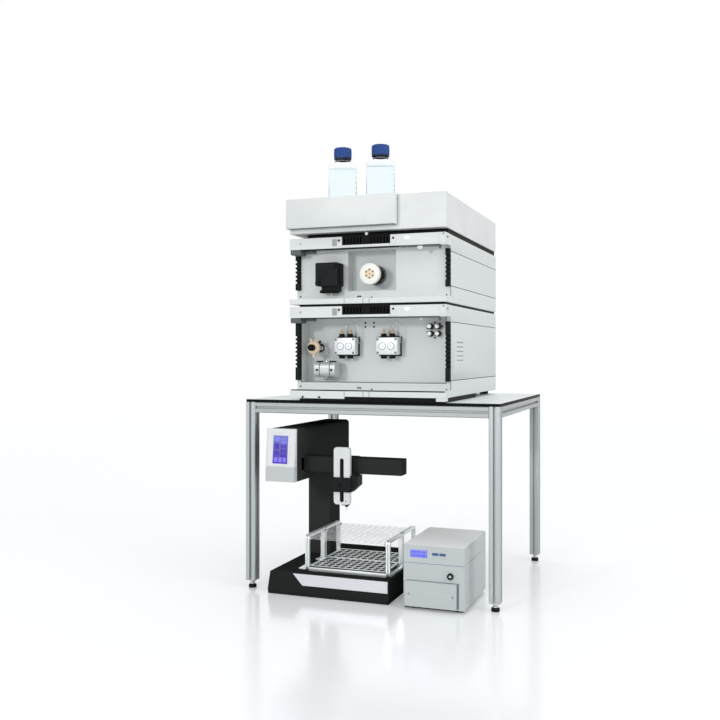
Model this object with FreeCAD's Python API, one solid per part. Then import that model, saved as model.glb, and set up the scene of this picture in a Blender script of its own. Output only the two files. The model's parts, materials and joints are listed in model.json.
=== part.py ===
import FreeCAD, Part
import math
import os

# Fast protein liquid chromatography system: a bench stand of slotted profile, a tower of two
# modules with a tray of eluent bottles, and a fraction collector and a detector on the floor
# beneath it. Millimetres, +Z up, +Y to the back. While it is built, x = 0 is the middle of the
# bench, y = 0 its front edge and z = 0 the floor.

V = FreeCAD.Vector

# Clearances that the pieces share, and how far a cutter or a joint passes the face it meets
RUNNING_CLEARANCE = 0.05
LOOSE_CLEARANCE = 0.3
PAST = 1.0

# Flats round small nuts, ribbed nuts and knobs, caps, bottles, small holes and rubber feet
NUT_SIDES = 6
RIBBED_SIDES = 12
CAP_RIBS = 24
BOTTLE_SIDES = 36
HOLE_SIDES = 8
FOOT_SIDES = 8

# Bench stand
BENCH_WIDTH = 588.0
BENCH_DEPTH = 518.0
BENCH_HEIGHT = 432.0
TOP_THICKNESS = 6.3
TOP_CORNER_RADIUS = 5.0
PROFILE_SIZE = 24.0
PROFILE_EDGE_CHAMFER = 1.5
SLOT_MOUTH = 6.0
SLOT_INSIDE = 11.0
SLOT_LIP = 2.0
SLOT_DEPTH = 6.0
LEG_GROUND_GAP = 17.5

# Levelling feet
FOOT_PAD_RADIUS = 9.0
FOOT_PAD_HEIGHT = 8.5
FOOT_NUT_RADIUS = 6.5
FOOT_NUT_HEIGHT = 3.5
FOOT_NUT_GAP = 1.0
STUD_RADIUS = 4.0
STUD_ENGAGEMENT = 18.0

# Modules of the tower
MODULE_WIDTH = 361.0
MODULE_DEPTH = 464.0
TOWER_FRONT = -6.7
BAR_DEPTH = 42.2
PUMP_HEIGHT = 198.4
PUMP_FOOT_HEIGHT = 9.8
VALVE_HEIGHT = 146.8
VALVE_FOOT_HEIGHT = 5.3
HOUSING_EDGE_CHAMFER = 1.2
SEAM_WIDTH = 0.8
SEAM_DEPTH = 0.8
SEAM_FROM_EDGE = 36.0
TOP_BAR_HEIGHT = 24.7
BOTTOM_BAR_HEIGHT = 12.0
BAR_CORNER_CHAMFER = 2.0
PANEL_THICKNESS = 2.0
MODULE_FOOT_RADIUS = 11.0
MODULE_FOOT_INSET = 26.0

# Vent grille let into the top bars
GRILLE_LEFT = -54.0
GRILLE_WIDTH = 111.0
GRILLE_LOWER_LIP = 6.0
GRILLE_DEPTH = 12.0
GRILLE_CENTRE_WIDTH = 17.0
GRILLE_SLOT_PITCH = 7.5
GRILLE_SLOT_WIDTH = 3.4
GRILLE_SLOT_DEPTH = 6.0
GRILLE_SLOT_COUNT = 6
GRILLE_SLOT_MARGIN = 2.5

# Tubing guides at both sides of the module fronts
GUIDE_WIDTH = 10.0
GUIDE_DEPTH = 10.5
GUIDE_FROM_RECESS = 3.0
PUMP_GUIDE_LENGTH = 129.0
VALVE_GUIDE_LENGTH = 81.5
VALVE_GUIDE_LIFT = 22.5
GUIDE_NOTCH_RADIUS = 2.3
GUIDE_NOTCH_PITCH = 8.6
PUMP_GUIDE_NOTCHES = 8
VALVE_GUIDE_NOTCHES = 5

# Side vents and the rear of the modules
SIDE_VENT_START = 51.5
SIDE_VENT_LENGTH = 60.0
SIDE_VENT_HEIGHT = 2.4
SIDE_VENT_PITCH = 9.9
SIDE_VENT_COUNT = 5
SIDE_VENT_DEPTH = 3.0
FAN_OPENING = 72.0
FAN_SLOT_COUNT = 7
FAN_SLOT_RATIO = 0.5
REAR_RECESS_DEPTH = 5.0
INLET_WIDTH = 48.0
INLET_HEIGHT = 28.0
INLET_DEPTH = 20.0
REAR_MARGIN = 30.0

# Pump module front
PUMP_RECESS_DEPTH = 44.5
PUMP_BEZEL_HEIGHT = 19.2
PUMP_RECESS_TOP_GAP = 22.0
PUMP_HEAD_HEIGHT_ON_TOWER = 111.2
PUMP_HEAD_XS = (-69.8, 30.4)
PUMP_HEAD_WIDTH = 51.0
PUMP_HEAD_TALL = 39.0
PUMP_HEAD_DEPTH = 22.0
PUMP_HEAD_CHAMFER = 2.5
PLUNGER_SPACING = 20.0
PLUNGER_CAP_RADIUS = 7.5
PLUNGER_CAP_STEP = 1.0
BACK_PLATE_EXTRA = 2.5
BACK_PLATE_DEPTH = 10.0
CHECK_VALVE_RADIUS = 6.6
CHECK_VALVE_HEIGHT = 8.5
CHECK_VALVE_FROM_FRONT = 11.0
PUMP_FITTING_RADIUS = 3.2
PUMP_FITTING_HEIGHT = 11.0
CAPILLARY_RADIUS = 0.8
CAPILLARY_SIDE_GAP = 3.0
CAPILLARY_RISE = 3.0
CAPILLARY_DROP = 26.0
SIGNAL_HOLE_RADIUS = 1.7
SIGNAL_HOLE_XS = (-31.0, -10.5)
SIGNAL_HOLE_DROPS = (12.0, 21.0)

# Purge valve
PURGE_X = -141.0
PURGE_ABOVE_BASE = 108.0
PURGE_DISC_RADIUS = 14.5
PURGE_DISC_DEPTH = 12.0
PURGE_BODY_RADIUS = 11.0
PURGE_BODY_DEPTH = 36.0
PURGE_PORT_RADIUS = 3.0
PURGE_PORT_LENGTH = 11.0
PURGE_PORT_ANGLES = (70.0, 110.0, 270.0)
PURGE_KNOB_RADIUS = 7.5
PURGE_KNOB_DEPTH = 14.0
PURGE_STEM_RADIUS = 3.0
PURGE_STEM_ENGAGEMENT = 8.0

# Mixing chamber
MIXER_LEFT = -137.0
MIXER_WIDTH = 49.5
MIXER_HEIGHT = 34.0
MIXER_ABOVE_BASE = 41.5
MIXER_DEPTH = 36.0
MIXER_CHAMFER = 8.0
MIXER_SEAM = 1.2
MIXER_SEAM_DEPTH = 1.5
MIXER_SEAM_INSET = 12.5
MIXER_FOOT_WIDTH = 20.0

# Inlet fittings at the right of the pump front
INLET_FITTING_X = 124.0
INLET_FITTING_PITCH_X = 17.5
INLET_FITTING_PITCH_Z = 16.0
INLET_FITTING_DROP = 44.0
INLET_FITTING_RADIUS = 6.0
INLET_FITTING_DEPTH = 18.0

# Valve module front
BAY_LEFT = -56.0
BAY_WIDTH = 112.5
BAY_HEIGHT = 94.0
BAY_ABOVE_BASE = 30.5
BAY_DEPTH = 30.5
INJECTION_X = 2.0
INJECTION_ABOVE_BASE = 66.1
STATOR_RADIUS = 23.5
STATOR_DEPTH = 11.0
STATOR_PORT_CIRCLE = 9.0
STATOR_PORT_RADIUS = 1.6
STATOR_PORT_COUNT = 6
STATOR_PORT_DEPTH = 5.0
NECK_RADIUS = 19.5
NECK_LENGTH = 34.0
FLANGE_RADIUS = 22.5
FLANGE_THICKNESS = 6.0
ROTOR_RADIUS = 11.0
ROTOR_LENGTH = 26.0

# Flow cell of the conductivity and light path
CELL_LEFT = -119.0
CELL_WIDTH = 52.0
CELL_HEIGHT = 51.5
CELL_ABOVE_BASE = 40.5
CELL_DEPTH = 38.5
CELL_EDGE_CHAMFER = 2.0
CELL_SHOE_HEIGHT = 11.0
CELL_SHOE_INSET = 9.0
CELL_SHOE_DEPTH = 25.0
THUMB_SCREW_RADIUS = 5.0
THUMB_SCREW_HEAD = 7.0
THUMB_SCREW_SHANK_RADIUS = 2.0
THUMB_SCREW_SHANK = 12.0
THUMB_SCREW_INSET = 6.5

# Eluent tray
TRAY_HEIGHT = 74.8
TRAY_FOOT_HEIGHT = 10.9
TRAY_WALL = 6.0
TRAY_WELL_DEPTH = 33.0
TRAY_CORNER_CHAMFER = 2.5
TRAY_PLATE_WIDTH = 254.0
TRAY_PLATE_THICKNESS = 20.0
TRAY_PLATE_LIFT = 9.8
TRAY_PLATE_EDGE = 1.5

# Eluent bottles
BOTTLE_XS = (-107.5, -13.4)
BOTTLE_FROM_FRONT = 140.7
BOTTLE_RADIUS = 35.0
BOTTLE_BODY_HEIGHT = 128.0
BOTTLE_SHOULDER_HEIGHT = 16.0
BOTTLE_NECK_RADIUS = 18.5
BOTTLE_NECK_HEIGHT = 28.0
BOTTLE_GLASS = 2.2
BOTTLE_BASE = 4.0
CAP_RADIUS = 22.0
CAP_HEIGHT = 27.0
CAP_TOP_THICKNESS = 2.5

# Fraction collector
COLLECTOR_LEG_GAP = 44.0
COLLECTOR_FRONT = -26.0
BASE_DEPTH = 326.0
BASE_FOOT_HEIGHT = 6.0
BASE_HEIGHT = 46.0
BASE_TAPER = 7.0
BASE_EDGE_CHAMFER = 2.0
BASE_SLOT_FROM_BACK = 36.0
BASE_SLOT_WIDTH = 8.0
BASE_SLOT_DEPTH = 5.0
BASE_SLOT_INSET = 90.0
BASE_SLOT_CHAMFER = 2.5
TRIM_TOP_LEFT = 63.0
TRIM_SLANT = 23.0
TRIM_HEIGHT = 25.0
TRIM_TOP_GAP = 2.0
TRIM_THICKNESS = 1.5
COLUMN_INSET = 13.0
COLUMN_WIDTH = 57.0
COLUMN_FROM_FRONT = 199.0
COLUMN_DEPTH = 66.0
COLUMN_EDGE_CHAMFER = 2.0
BEAM_WIDTH = 70.0
BEAM_SETBACK = 6.0
BEAM_HEIGHT = 117.0
BEAM_DEPTH = 320.0
BEAM_EDGE_RADIUS = 9.0
COLLECTOR_HEADROOM = 32.7
BEAM_SLOT_FRONT = 24.0
BEAM_SLOT_LENGTH = 285.0

# Console on the beam's front
CONSOLE_THICKNESS = 14.0
CONSOLE_WIDER = 2.0
CONSOLE_LEAN = 9.0
CONSOLE_KINK_HEIGHT = 34.0
CONSOLE_EDGE_RADIUS = 4.0
SCREEN_WIDTH = 36.0
SCREEN_HEIGHT = 62.0
SCREEN_DEPTH = 1.0
SCREEN_LIFT = 6.0

# Arm, carriage and head
ARM_SETBACK = 40.0
ARM_DEPTH = 40.0
ARM_HEIGHT = 35.0
ARM_LIFT = 18.0
ARM_OVERHANG = 13.3
ARM_TONGUE = 10.0
ARM_EDGE_CHAMFER = 2.0
HEAD_FROM_ARM_ROOT = 82.7
HEAD_WIDTH = 37.6
HEAD_THICKNESS = 10.0
HEAD_HEIGHT = 125.0
HEAD_TOP_ABOVE_ARM = 25.5
HEAD_CORNER_RADIUS = 7.0
HEAD_ARM_GAP = 18.0
HEAD_SLOT_WIDTH = 9.5
HEAD_SLOT_TOP = 24.0
HEAD_SLOT_BOTTOM = 5.0
HEAD_SLOT_CHAMFER = 3.0
CLAMP_WALL = 3.0
CLAMP_HEIGHT = 32.0
CLAMP_BELOW_ARM = 5.0
CARRIAGE_WALL = 8.0
CARRIAGE_WIDTH = 30.0
CLAMP_SIDE_BLOCK = 16.0
CLAMP_SIDE_DROP = 16.0
NOZZLE_RADIUS = 4.5
NOZZLE_LENGTH = 5.0
NOZZLE_TIP_RADIUS = 1.2
NOZZLE_TIP_LENGTH = 9.0

# Racks on the collector's base
RACK_FROM_LEFT = 82.0
RACK_FROM_FRONT = 24.0
RACK_FROM_RIGHT = 5.0
RACK_DEPTH = 95.0
RACK_GAP = 1.5
RACK_HEIGHT = 80.0
RACK_POST = 9.3
RACK_STRAP = 6.0
RACK_CORNER_CHAMFER = 4.5
RACK_WINDOW_CHAMFER = 2.5
RACK_EAR = 19.0
RACK_EAR_DEPTH = 45.0
RACK_FLOOR = 4.0
TUBE_PLATE_THICKNESS = 3.0
LOWER_PLATE_LIFT = 9.0
UPPER_PLATE_DROP = 9.0
TUBE_ROWS = 5
TUBE_COLUMNS = 11
LOWER_HOLE = 12.5
UPPER_HOLE = 11.6
TUBE_WEB = 2.0
TUBE_MARGIN = 5.0

# Detector
DETECTOR_GAP = 35.8
DETECTOR_LEG_GAP = 42.5
DETECTOR_FRONT = -35.0
DETECTOR_WIDTH = 131.7
DETECTOR_DEPTH = 200.0
DETECTOR_FOOT_HEIGHT = 6.0
DETECTOR_HEIGHT = 129.5
DETECTOR_UPPER_HEIGHT = 37.0
DETECTOR_SEAM = 1.0
DETECTOR_EDGE_CHAMFER = 1.5
DETECTOR_NECK_INSET = 1.0
DOOR_INSET = 5.7
DOOR_WIDTH = 110.0
DOOR_LIFT = 2.0
DOOR_HEIGHT = 52.5
DOOR_THICKNESS = 7.0
DOOR_DIMPLE_RADIUS = 2.5
DOOR_DIMPLE_DEPTH = 1.2
DOOR_DIMPLE_INSET = 8.0
DOOR_EDGE_CHAMFER = 1.0
DISPLAY_INSET = 15.2
DISPLAY_WIDTH = 37.0
DISPLAY_HEIGHT = 16.0
DISPLAY_DEPTH = 3.0
DISPLAY_LIFT = 11.0
KEY_INSETS = (63.2, 78.7)
KEY_WIDTH = 12.5
KEY_HEIGHT = 4.4
KEY_LIFT = 18.0
KEY_TRAVEL = 1.0
KEY_PROUD = 1.2
KEY_DEPTH = 5.0
KEY_EDGE_CHAMFER = 0.8
SOCKET_INSET = 102.0
SOCKET_LIFT = 69.7
SOCKET_RADIUS = 6.6
SOCKET_BORE = 4.2
SOCKET_DEPTH = 5.0

# Rubber feet of the modules, the collector and the detector
SMALL_FOOT_RADIUS = 8.0
SMALL_FOOT_INSET = 18.0

# Heights and places that follow from the sizes above
TOP_UNDERSIDE = BENCH_HEIGHT - TOP_THICKNESS
RAIL_UNDERSIDE = TOP_UNDERSIDE - PROFILE_SIZE
LEG_HEIGHT = TOP_UNDERSIDE - LEG_GROUND_GAP
LEG_BORE_RADIUS = STUD_RADIUS + RUNNING_CLEARANCE
MODULE_SIDE = MODULE_WIDTH / 2
BODY_FRONT = TOWER_FRONT + BAR_DEPTH
BODY_BACK = BODY_FRONT + MODULE_DEPTH
PUMP_BASE = BENCH_HEIGHT + PUMP_FOOT_HEIGHT
PUMP_TOP = PUMP_BASE + PUMP_HEIGHT
VALVE_BASE = PUMP_TOP + VALVE_FOOT_HEIGHT
VALVE_TOP = VALVE_BASE + VALVE_HEIGHT
TRAY_BASE = VALVE_TOP + TRAY_FOOT_HEIGHT
TRAY_TOP = TRAY_BASE + TRAY_HEIGHT
TRAY_FLOOR = TRAY_TOP - TRAY_WELL_DEPTH
RECESS_SIDE = MODULE_SIDE - GUIDE_WIDTH
PUMP_RECESS_BASE = PUMP_BASE + BOTTOM_BAR_HEIGHT + PUMP_BEZEL_HEIGHT
PUMP_RECESS_TOP = PUMP_TOP - PUMP_RECESS_TOP_GAP
PUMP_PANEL_Y = BODY_FRONT + PUMP_RECESS_DEPTH
PUMP_HEAD_Z = PUMP_BASE + PUMP_HEAD_HEIGHT_ON_TOWER
PUMP_HEAD_BACK = PUMP_PANEL_Y - BACK_PLATE_DEPTH
PUMP_HEAD_FRONT = PUMP_HEAD_BACK - PUMP_HEAD_DEPTH
PURGE_Z = PUMP_BASE + PURGE_ABOVE_BASE
PURGE_DISC_BACK = PUMP_PANEL_Y - PURGE_BODY_DEPTH
PURGE_DISC_FRONT = PURGE_DISC_BACK - PURGE_DISC_DEPTH
VALVE_PANEL_BASE = VALVE_BASE + BOTTOM_BAR_HEIGHT
VALVE_PANEL_TOP = VALVE_TOP - TOP_BAR_HEIGHT
BAY_BASE = VALVE_BASE + BAY_ABOVE_BASE
BAY_BACK = BODY_FRONT + BAY_DEPTH
INJECTION_Z = VALVE_BASE + INJECTION_ABOVE_BASE
NECK_BACK = BAY_BACK - FLANGE_THICKNESS
NECK_FRONT = NECK_BACK - NECK_LENGTH
STATOR_FRONT = NECK_FRONT - STATOR_DEPTH
CELL_BASE = VALVE_BASE + CELL_ABOVE_BASE
CELL_FRONT = BODY_FRONT - CELL_DEPTH
BOTTLE_Y = TOWER_FRONT + BOTTLE_FROM_FRONT
BOTTLE_SHOULDER_Z = TRAY_FLOOR + BOTTLE_BODY_HEIGHT
BOTTLE_NECK_Z = BOTTLE_SHOULDER_Z + BOTTLE_SHOULDER_HEIGHT
BOTTLE_MOUTH_Z = BOTTLE_NECK_Z + BOTTLE_NECK_HEIGHT
BOTTLE_INSIDE = BOTTLE_RADIUS - BOTTLE_GLASS
NECK_INSIDE = BOTTLE_NECK_RADIUS - BOTTLE_GLASS
LEG_INSIDE = BENCH_WIDTH / 2 - PROFILE_SIZE
DETECTOR_RIGHT = LEG_INSIDE - DETECTOR_LEG_GAP
DETECTOR_LEFT = DETECTOR_RIGHT - DETECTOR_WIDTH
BASE_LEFT = -LEG_INSIDE + COLLECTOR_LEG_GAP
BASE_RIGHT = DETECTOR_LEFT - DETECTOR_GAP
BASE_BACK = COLLECTOR_FRONT + BASE_DEPTH
BASE_TOP = BASE_FOOT_HEIGHT + BASE_HEIGHT
BEAM_TOP = RAIL_UNDERSIDE - COLLECTOR_HEADROOM
BEAM_BOTTOM = BEAM_TOP - BEAM_HEIGHT
BEAM_RIGHT = BASE_LEFT + BEAM_WIDTH
BEAM_FRONT = COLLECTOR_FRONT + BEAM_SETBACK
ARM_Z = BEAM_BOTTOM + ARM_LIFT
ARM_TOP = ARM_Z + ARM_HEIGHT
ARM_FRONT = BEAM_FRONT + ARM_SETBACK
ARM_BACK = ARM_FRONT + ARM_DEPTH
ARM_ROOT = BEAM_RIGHT + LOOSE_CLEARANCE
ARM_TIP = BASE_RIGHT + ARM_OVERHANG
TONGUE_INSET = ARM_EDGE_CHAMFER + 2 * PAST
HEAD_LEFT = ARM_ROOT + HEAD_FROM_ARM_ROOT
HEAD_RIGHT = HEAD_LEFT + HEAD_WIDTH
HEAD_BACK = ARM_FRONT - HEAD_ARM_GAP
HEAD_FRONT = HEAD_BACK - HEAD_THICKNESS
HEAD_TOP = ARM_TOP + HEAD_TOP_ABOVE_ARM
HEAD_BOTTOM = HEAD_TOP - HEAD_HEIGHT
HEAD_MIDDLE = (HEAD_LEFT + HEAD_RIGHT) / 2
CLAMP_TOP = ARM_Z - CLAMP_BELOW_ARM
CLAMP_BOTTOM = CLAMP_TOP - CLAMP_HEIGHT
RACK_LEFT = BASE_LEFT + RACK_FROM_LEFT
RACK_RIGHT = BASE_RIGHT - RACK_FROM_RIGHT
RACK_FRONT = COLLECTOR_FRONT + RACK_FROM_FRONT
RACK_TOP = BASE_TOP + RACK_HEIGHT
DETECTOR_BACK = DETECTOR_FRONT + DETECTOR_DEPTH
DETECTOR_TOP = DETECTOR_FOOT_HEIGHT + DETECTOR_HEIGHT
DETECTOR_SEAM_Z = DETECTOR_TOP - DETECTOR_UPPER_HEIGHT
FOREMOST = min(DETECTOR_FRONT - DOOR_THICKNESS, COLLECTOR_FRONT - TRIM_THICKNESS)
ORIGIN_Y = (FOREMOST + BENCH_DEPTH) / 2

os.makedirs("parts", exist_ok=True)


def save(node, *solids):
    """Write one node, shifted so that the origin is at the middle of the footprint."""
    shape = solids[0] if len(solids) == 1 else Part.makeCompound(list(solids))
    placed = shape.copy()
    placed.translate(V(0, -ORIGIN_Y, 0))
    placed.exportStep("parts/" + node + ".step")


def block(x0, x1, y0, y1, z0, z1):
    return Part.makeBox(x1 - x0, y1 - y0, z1 - z0, V(x0, y0, z0))


def edges_along(shape, axis):
    """The straight edges of a shape that run along one axis."""
    chosen = []
    for edge in shape.Edges:
        if edge.Curve.TypeId == "Part::GeomLine":
            span = edge.Vertexes[-1].Point.sub(edge.Vertexes[0].Point)
            if abs(abs(span.normalize().dot(axis)) - 1) < 1e-6:
                chosen.append(edge)
    return chosen


def rounded_block(x0, x1, y0, y1, z0, z1, radius, axis=V(0, 0, 1)):
    box = block(x0, x1, y0, y1, z0, z1)
    return box.makeFillet(radius, edges_along(box, axis))


def chamfered_block(x0, x1, y0, y1, z0, z1, chamfer, axis=V(0, 0, 1)):
    box = block(x0, x1, y0, y1, z0, z1)
    return box.makeChamfer(chamfer, edges_along(box, axis))


def rod(centre, radius, length, axis):
    return Part.makeCylinder(radius, length, centre, axis)


def prism(centre, radius, length, sides, axis):
    """A bar with equal flats, such as a nut or a ribbed knob, measured across its corners."""
    turns = [2 * math.pi * i / sides for i in range(sides)]
    bar = extruded([V(radius * math.cos(t), radius * math.sin(t), 0) for t in turns],
                   V(0, 0, length))
    bar.Placement = FreeCAD.Placement(centre, FreeCAD.Rotation(V(0, 0, 1), axis))
    return bar


def faceted(points, x, y, sides):
    """An upright solid with equal flats that follows an outline of (radius, height) points."""
    rings = []
    for radius, height in points:
        rings.append([V(x + radius * math.cos(2 * math.pi * i / sides),
                        y + radius * math.sin(2 * math.pi * i / sides), height)
                      for i in range(sides)])
    outlines = [rings[0], rings[-1]]
    for below, above in zip(rings, rings[1:]):
        for i in range(sides):
            j = (i + 1) % sides
            outlines.append([below[i], below[j], above[j], above[i]])
    faces = [Part.Face(Part.makePolygon(outline + outline[:1])) for outline in outlines]
    return Part.Solid(Part.Shell(faces))


def extruded(points, offset):
    face = Part.Face(Part.makePolygon(points + points[:1]))
    return face.extrude(offset)


def joined(first, *others):
    return first.fuse(list(others)).removeSplitter()


def mirrored(shape):
    return shape.mirror(V(0, 0, 0), V(1, 0, 0))


def slotted_profile(length, bored):
    """One length of aluminium profile along Z, with a T-slot in each of its four faces."""
    half = PROFILE_SIZE / 2
    box = block(-half, half, -half, half, 0, length)
    box = box.makeChamfer(PROFILE_EDGE_CHAMFER, edges_along(box, V(0, 0, 1)))
    floor = half - SLOT_DEPTH
    shoulder = (half - SLOT_LIP + floor) / 2 + SLOT_LIP / 4
    right_side = [
        V(SLOT_MOUTH / 2, half + PAST, 0),
        V(SLOT_MOUTH / 2, half - SLOT_LIP, 0),
        V(SLOT_INSIDE / 2, half - SLOT_LIP, 0),
        V(SLOT_INSIDE / 2, shoulder, 0),
        V(SLOT_MOUTH / 2, floor, 0),
    ]
    left_side = [V(-p.x, p.y, 0) for p in reversed(right_side)]
    slot = extruded(right_side + left_side, V(0, 0, length))
    cuts = []
    for turn in range(4):
        copy = slot.copy()
        copy.rotate(V(0, 0, 0), V(0, 0, 1), 90 * turn)
        cuts.append(copy)
    if bored:
        cuts.append(rod(V(0, 0, 0), LEG_BORE_RADIUS, length, V(0, 0, 1)))
    return box.cut(cuts)


def leg_centres():
    x = BENCH_WIDTH / 2 - PROFILE_SIZE / 2
    y = PROFILE_SIZE / 2
    return {
        "front_left": (-x, y),
        "front_right": (x, y),
        "back_left": (-x, BENCH_DEPTH - y),
        "back_right": (x, BENCH_DEPTH - y),
    }


def make_bench():
    half = BENCH_WIDTH / 2
    save("bench_top", rounded_block(-half, half, 0, BENCH_DEPTH, TOP_UNDERSIDE, BENCH_HEIGHT,
                                    TOP_CORNER_RADIUS))
    legs = []
    for x, y in leg_centres().values():
        leg = slotted_profile(LEG_HEIGHT, True)
        leg.translate(V(x, y, LEG_GROUND_GAP))
        legs.append(leg)
    save("bench_legs", *legs)

    rail_z = TOP_UNDERSIDE - PROFILE_SIZE / 2
    rails = []
    for y in (PROFILE_SIZE / 2, BENCH_DEPTH - PROFILE_SIZE / 2):
        rail = slotted_profile(BENCH_WIDTH - 2 * PROFILE_SIZE, False)
        rail.rotate(V(0, 0, 0), V(0, 1, 0), 90)
        rail.translate(V(-half + PROFILE_SIZE, y, rail_z))
        rails.append(rail)
    for x in (-half + PROFILE_SIZE / 2, half - PROFILE_SIZE / 2):
        rail = slotted_profile(BENCH_DEPTH - 2 * PROFILE_SIZE, False)
        rail.rotate(V(0, 0, 0), V(1, 0, 0), -90)
        rail.translate(V(x, PROFILE_SIZE, rail_z))
        rails.append(rail)
    save("bench_rails", *rails)


def make_levelling_feet():
    """Black ribbed pads with a lock nut on a stud that turns in the leg's bore."""
    up = V(0, 0, 1)
    for corner, (x, y) in leg_centres().items():
        pad = prism(V(x, y, 0), FOOT_PAD_RADIUS, FOOT_PAD_HEIGHT, RIBBED_SIDES, up)
        stud = rod(V(x, y, 0), STUD_RADIUS, LEG_GROUND_GAP + STUD_ENGAGEMENT, up)
        nut_base = LEG_GROUND_GAP - FOOT_NUT_GAP - FOOT_NUT_HEIGHT
        nut = prism(V(x, y, nut_base), FOOT_NUT_RADIUS, FOOT_NUT_HEIGHT, NUT_SIDES, up)
        save("levelling_foot_" + corner, joined(pad, stud, nut))


def housing_body(base, top):
    """The wrapped case of a module, with its two seam lines and the rear recesses."""
    side = MODULE_SIDE
    body = chamfered_block(-side, side, BODY_FRONT, BODY_BACK, base, top,
                           HOUSING_EDGE_CHAMFER, V(0, 1, 0))
    cuts = []
    for z in (base + SEAM_FROM_EDGE, top - SEAM_FROM_EDGE):
        ring = block(-side - PAST, side + PAST, BODY_FRONT - PAST, BODY_BACK + PAST,
                     z - SEAM_WIDTH / 2, z + SEAM_WIDTH / 2)
        core = block(-side + SEAM_DEPTH, side - SEAM_DEPTH, BODY_FRONT - 2 * PAST,
                     BODY_BACK + 2 * PAST, z - SEAM_WIDTH, z + SEAM_WIDTH)
        cuts.append(ring.cut(core))
    return body, cuts


def rear_cuts(base, top):
    """Fan slots on the left and a mains inlet recess on the right of the rear wall."""
    middle = (base + top) / 2
    fan_left = -MODULE_SIDE + REAR_MARGIN
    pitch = FAN_OPENING / FAN_SLOT_COUNT
    cuts = []
    for i in range(FAN_SLOT_COUNT):
        z = middle - FAN_OPENING / 2 + i * pitch
        cuts.append(block(fan_left, fan_left + FAN_OPENING, BODY_BACK - REAR_RECESS_DEPTH,
                          BODY_BACK + PAST, z, z + pitch * FAN_SLOT_RATIO))
    inlet_right = MODULE_SIDE - REAR_MARGIN
    cuts.append(block(inlet_right - INLET_WIDTH, inlet_right, BODY_BACK - INLET_DEPTH,
                      BODY_BACK + PAST, middle - INLET_HEIGHT / 2, middle + INLET_HEIGHT / 2))
    return cuts


def side_vent_cuts():
    """Short horizontal louvres low on both sides of the pump housing."""
    middle = (PUMP_BASE + PUMP_TOP) / 2
    start = BODY_FRONT + SIDE_VENT_START
    cuts = []
    for i in range(SIDE_VENT_COUNT):
        z = middle + (i - (SIDE_VENT_COUNT - 1) / 2) * SIDE_VENT_PITCH
        vent = block(MODULE_SIDE - SIDE_VENT_DEPTH, MODULE_SIDE + PAST, start,
                     start + SIDE_VENT_LENGTH, z - SIDE_VENT_HEIGHT / 2,
                     z + SIDE_VENT_HEIGHT / 2)
        cuts.append(vent)
        cuts.append(mirrored(vent))
    return cuts


def make_pump_module():
    body, cuts = housing_body(PUMP_BASE, PUMP_TOP)
    cuts += rear_cuts(PUMP_BASE, PUMP_TOP)
    cuts += side_vent_cuts()
    panel_back = PUMP_PANEL_Y + PANEL_THICKNESS
    cuts.append(block(-RECESS_SIDE, RECESS_SIDE, BODY_FRONT - PAST, panel_back,
                      PUMP_RECESS_BASE, PUMP_RECESS_TOP))
    save("pump_housing", body.cut(cuts))

    panel = block(-RECESS_SIDE, RECESS_SIDE, PUMP_PANEL_Y, panel_back,
                  PUMP_RECESS_BASE, PUMP_RECESS_TOP)
    holes = [prism(V(x, PUMP_PANEL_Y - PAST, PUMP_RECESS_TOP - drop), SIGNAL_HOLE_RADIUS,
                   PANEL_THICKNESS + 2 * PAST, HOLE_SIDES, V(0, 1, 0))
             for x in SIGNAL_HOLE_XS for drop in SIGNAL_HOLE_DROPS]
    save("pump_panel", panel.cut(holes))


def pump_head(x):
    """One stainless head block with two turned plunger caps standing out of its face."""
    half = PUMP_HEAD_WIDTH / 2
    z0 = PUMP_HEAD_Z - PUMP_HEAD_TALL / 2
    head = chamfered_block(x - half, x + half, PUMP_HEAD_FRONT, PUMP_HEAD_BACK, z0,
                           z0 + PUMP_HEAD_TALL, PUMP_HEAD_CHAMFER, V(0, 1, 0))
    caps = [prism(V(px, PUMP_HEAD_FRONT - PLUNGER_CAP_STEP, PUMP_HEAD_Z), PLUNGER_CAP_RADIUS,
                  PLUNGER_CAP_STEP, CAP_RIBS, V(0, 1, 0)) for px in plunger_xs(x)]
    return joined(head, *caps)


def plunger_xs(x):
    return (x - PLUNGER_SPACING / 2, x + PLUNGER_SPACING / 2)


def check_valve(x, z, up):
    """A black ribbed cap nut on the head's top or bottom."""
    return prism(V(x, PUMP_HEAD_FRONT + CHECK_VALVE_FROM_FRONT, z), CHECK_VALVE_RADIUS,
                 CHECK_VALVE_HEIGHT, RIBBED_SIDES, V(0, 0, up))


def capillary(x):
    """A steel capillary that rises from a fitting, turns over and drops into the panel."""
    r = (PUMP_HEAD_WIDTH / 2 + CAPILLARY_SIDE_GAP - PLUNGER_SPACING / 2) / 2
    y = PUMP_HEAD_FRONT + CHECK_VALVE_FROM_FRONT
    start = PUMP_HEAD_Z + PUMP_HEAD_TALL / 2 + CHECK_VALVE_HEIGHT + PUMP_FITTING_HEIGHT
    rise = start + CAPILLARY_RISE
    down_x = x + 2 * r
    foot = rise - CAPILLARY_DROP
    path = [V(x, y, start)]
    for angle in (180, 135, 90, 45, 0):
        turn = math.radians(angle)
        path.append(V(x + r + r * math.cos(turn), y, rise + r * math.sin(turn)))
    for angle in (0, 45, 90):
        turn = math.radians(angle)
        path.append(V(down_x, y + r - r * math.cos(turn), foot - r * math.sin(turn)))
    path.append(V(down_x, PUMP_PANEL_Y, foot - r))
    section = [V(x + CAPILLARY_RADIUS * math.cos(t), y + CAPILLARY_RADIUS * math.sin(t), start)
               for t in (2 * math.pi * i / HOLE_SIDES for i in range(HOLE_SIDES))]
    ring = Part.makePolygon(section + section[:1])
    return Part.makePolygon(path).makePipeShell([ring], True, False, 1)


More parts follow.
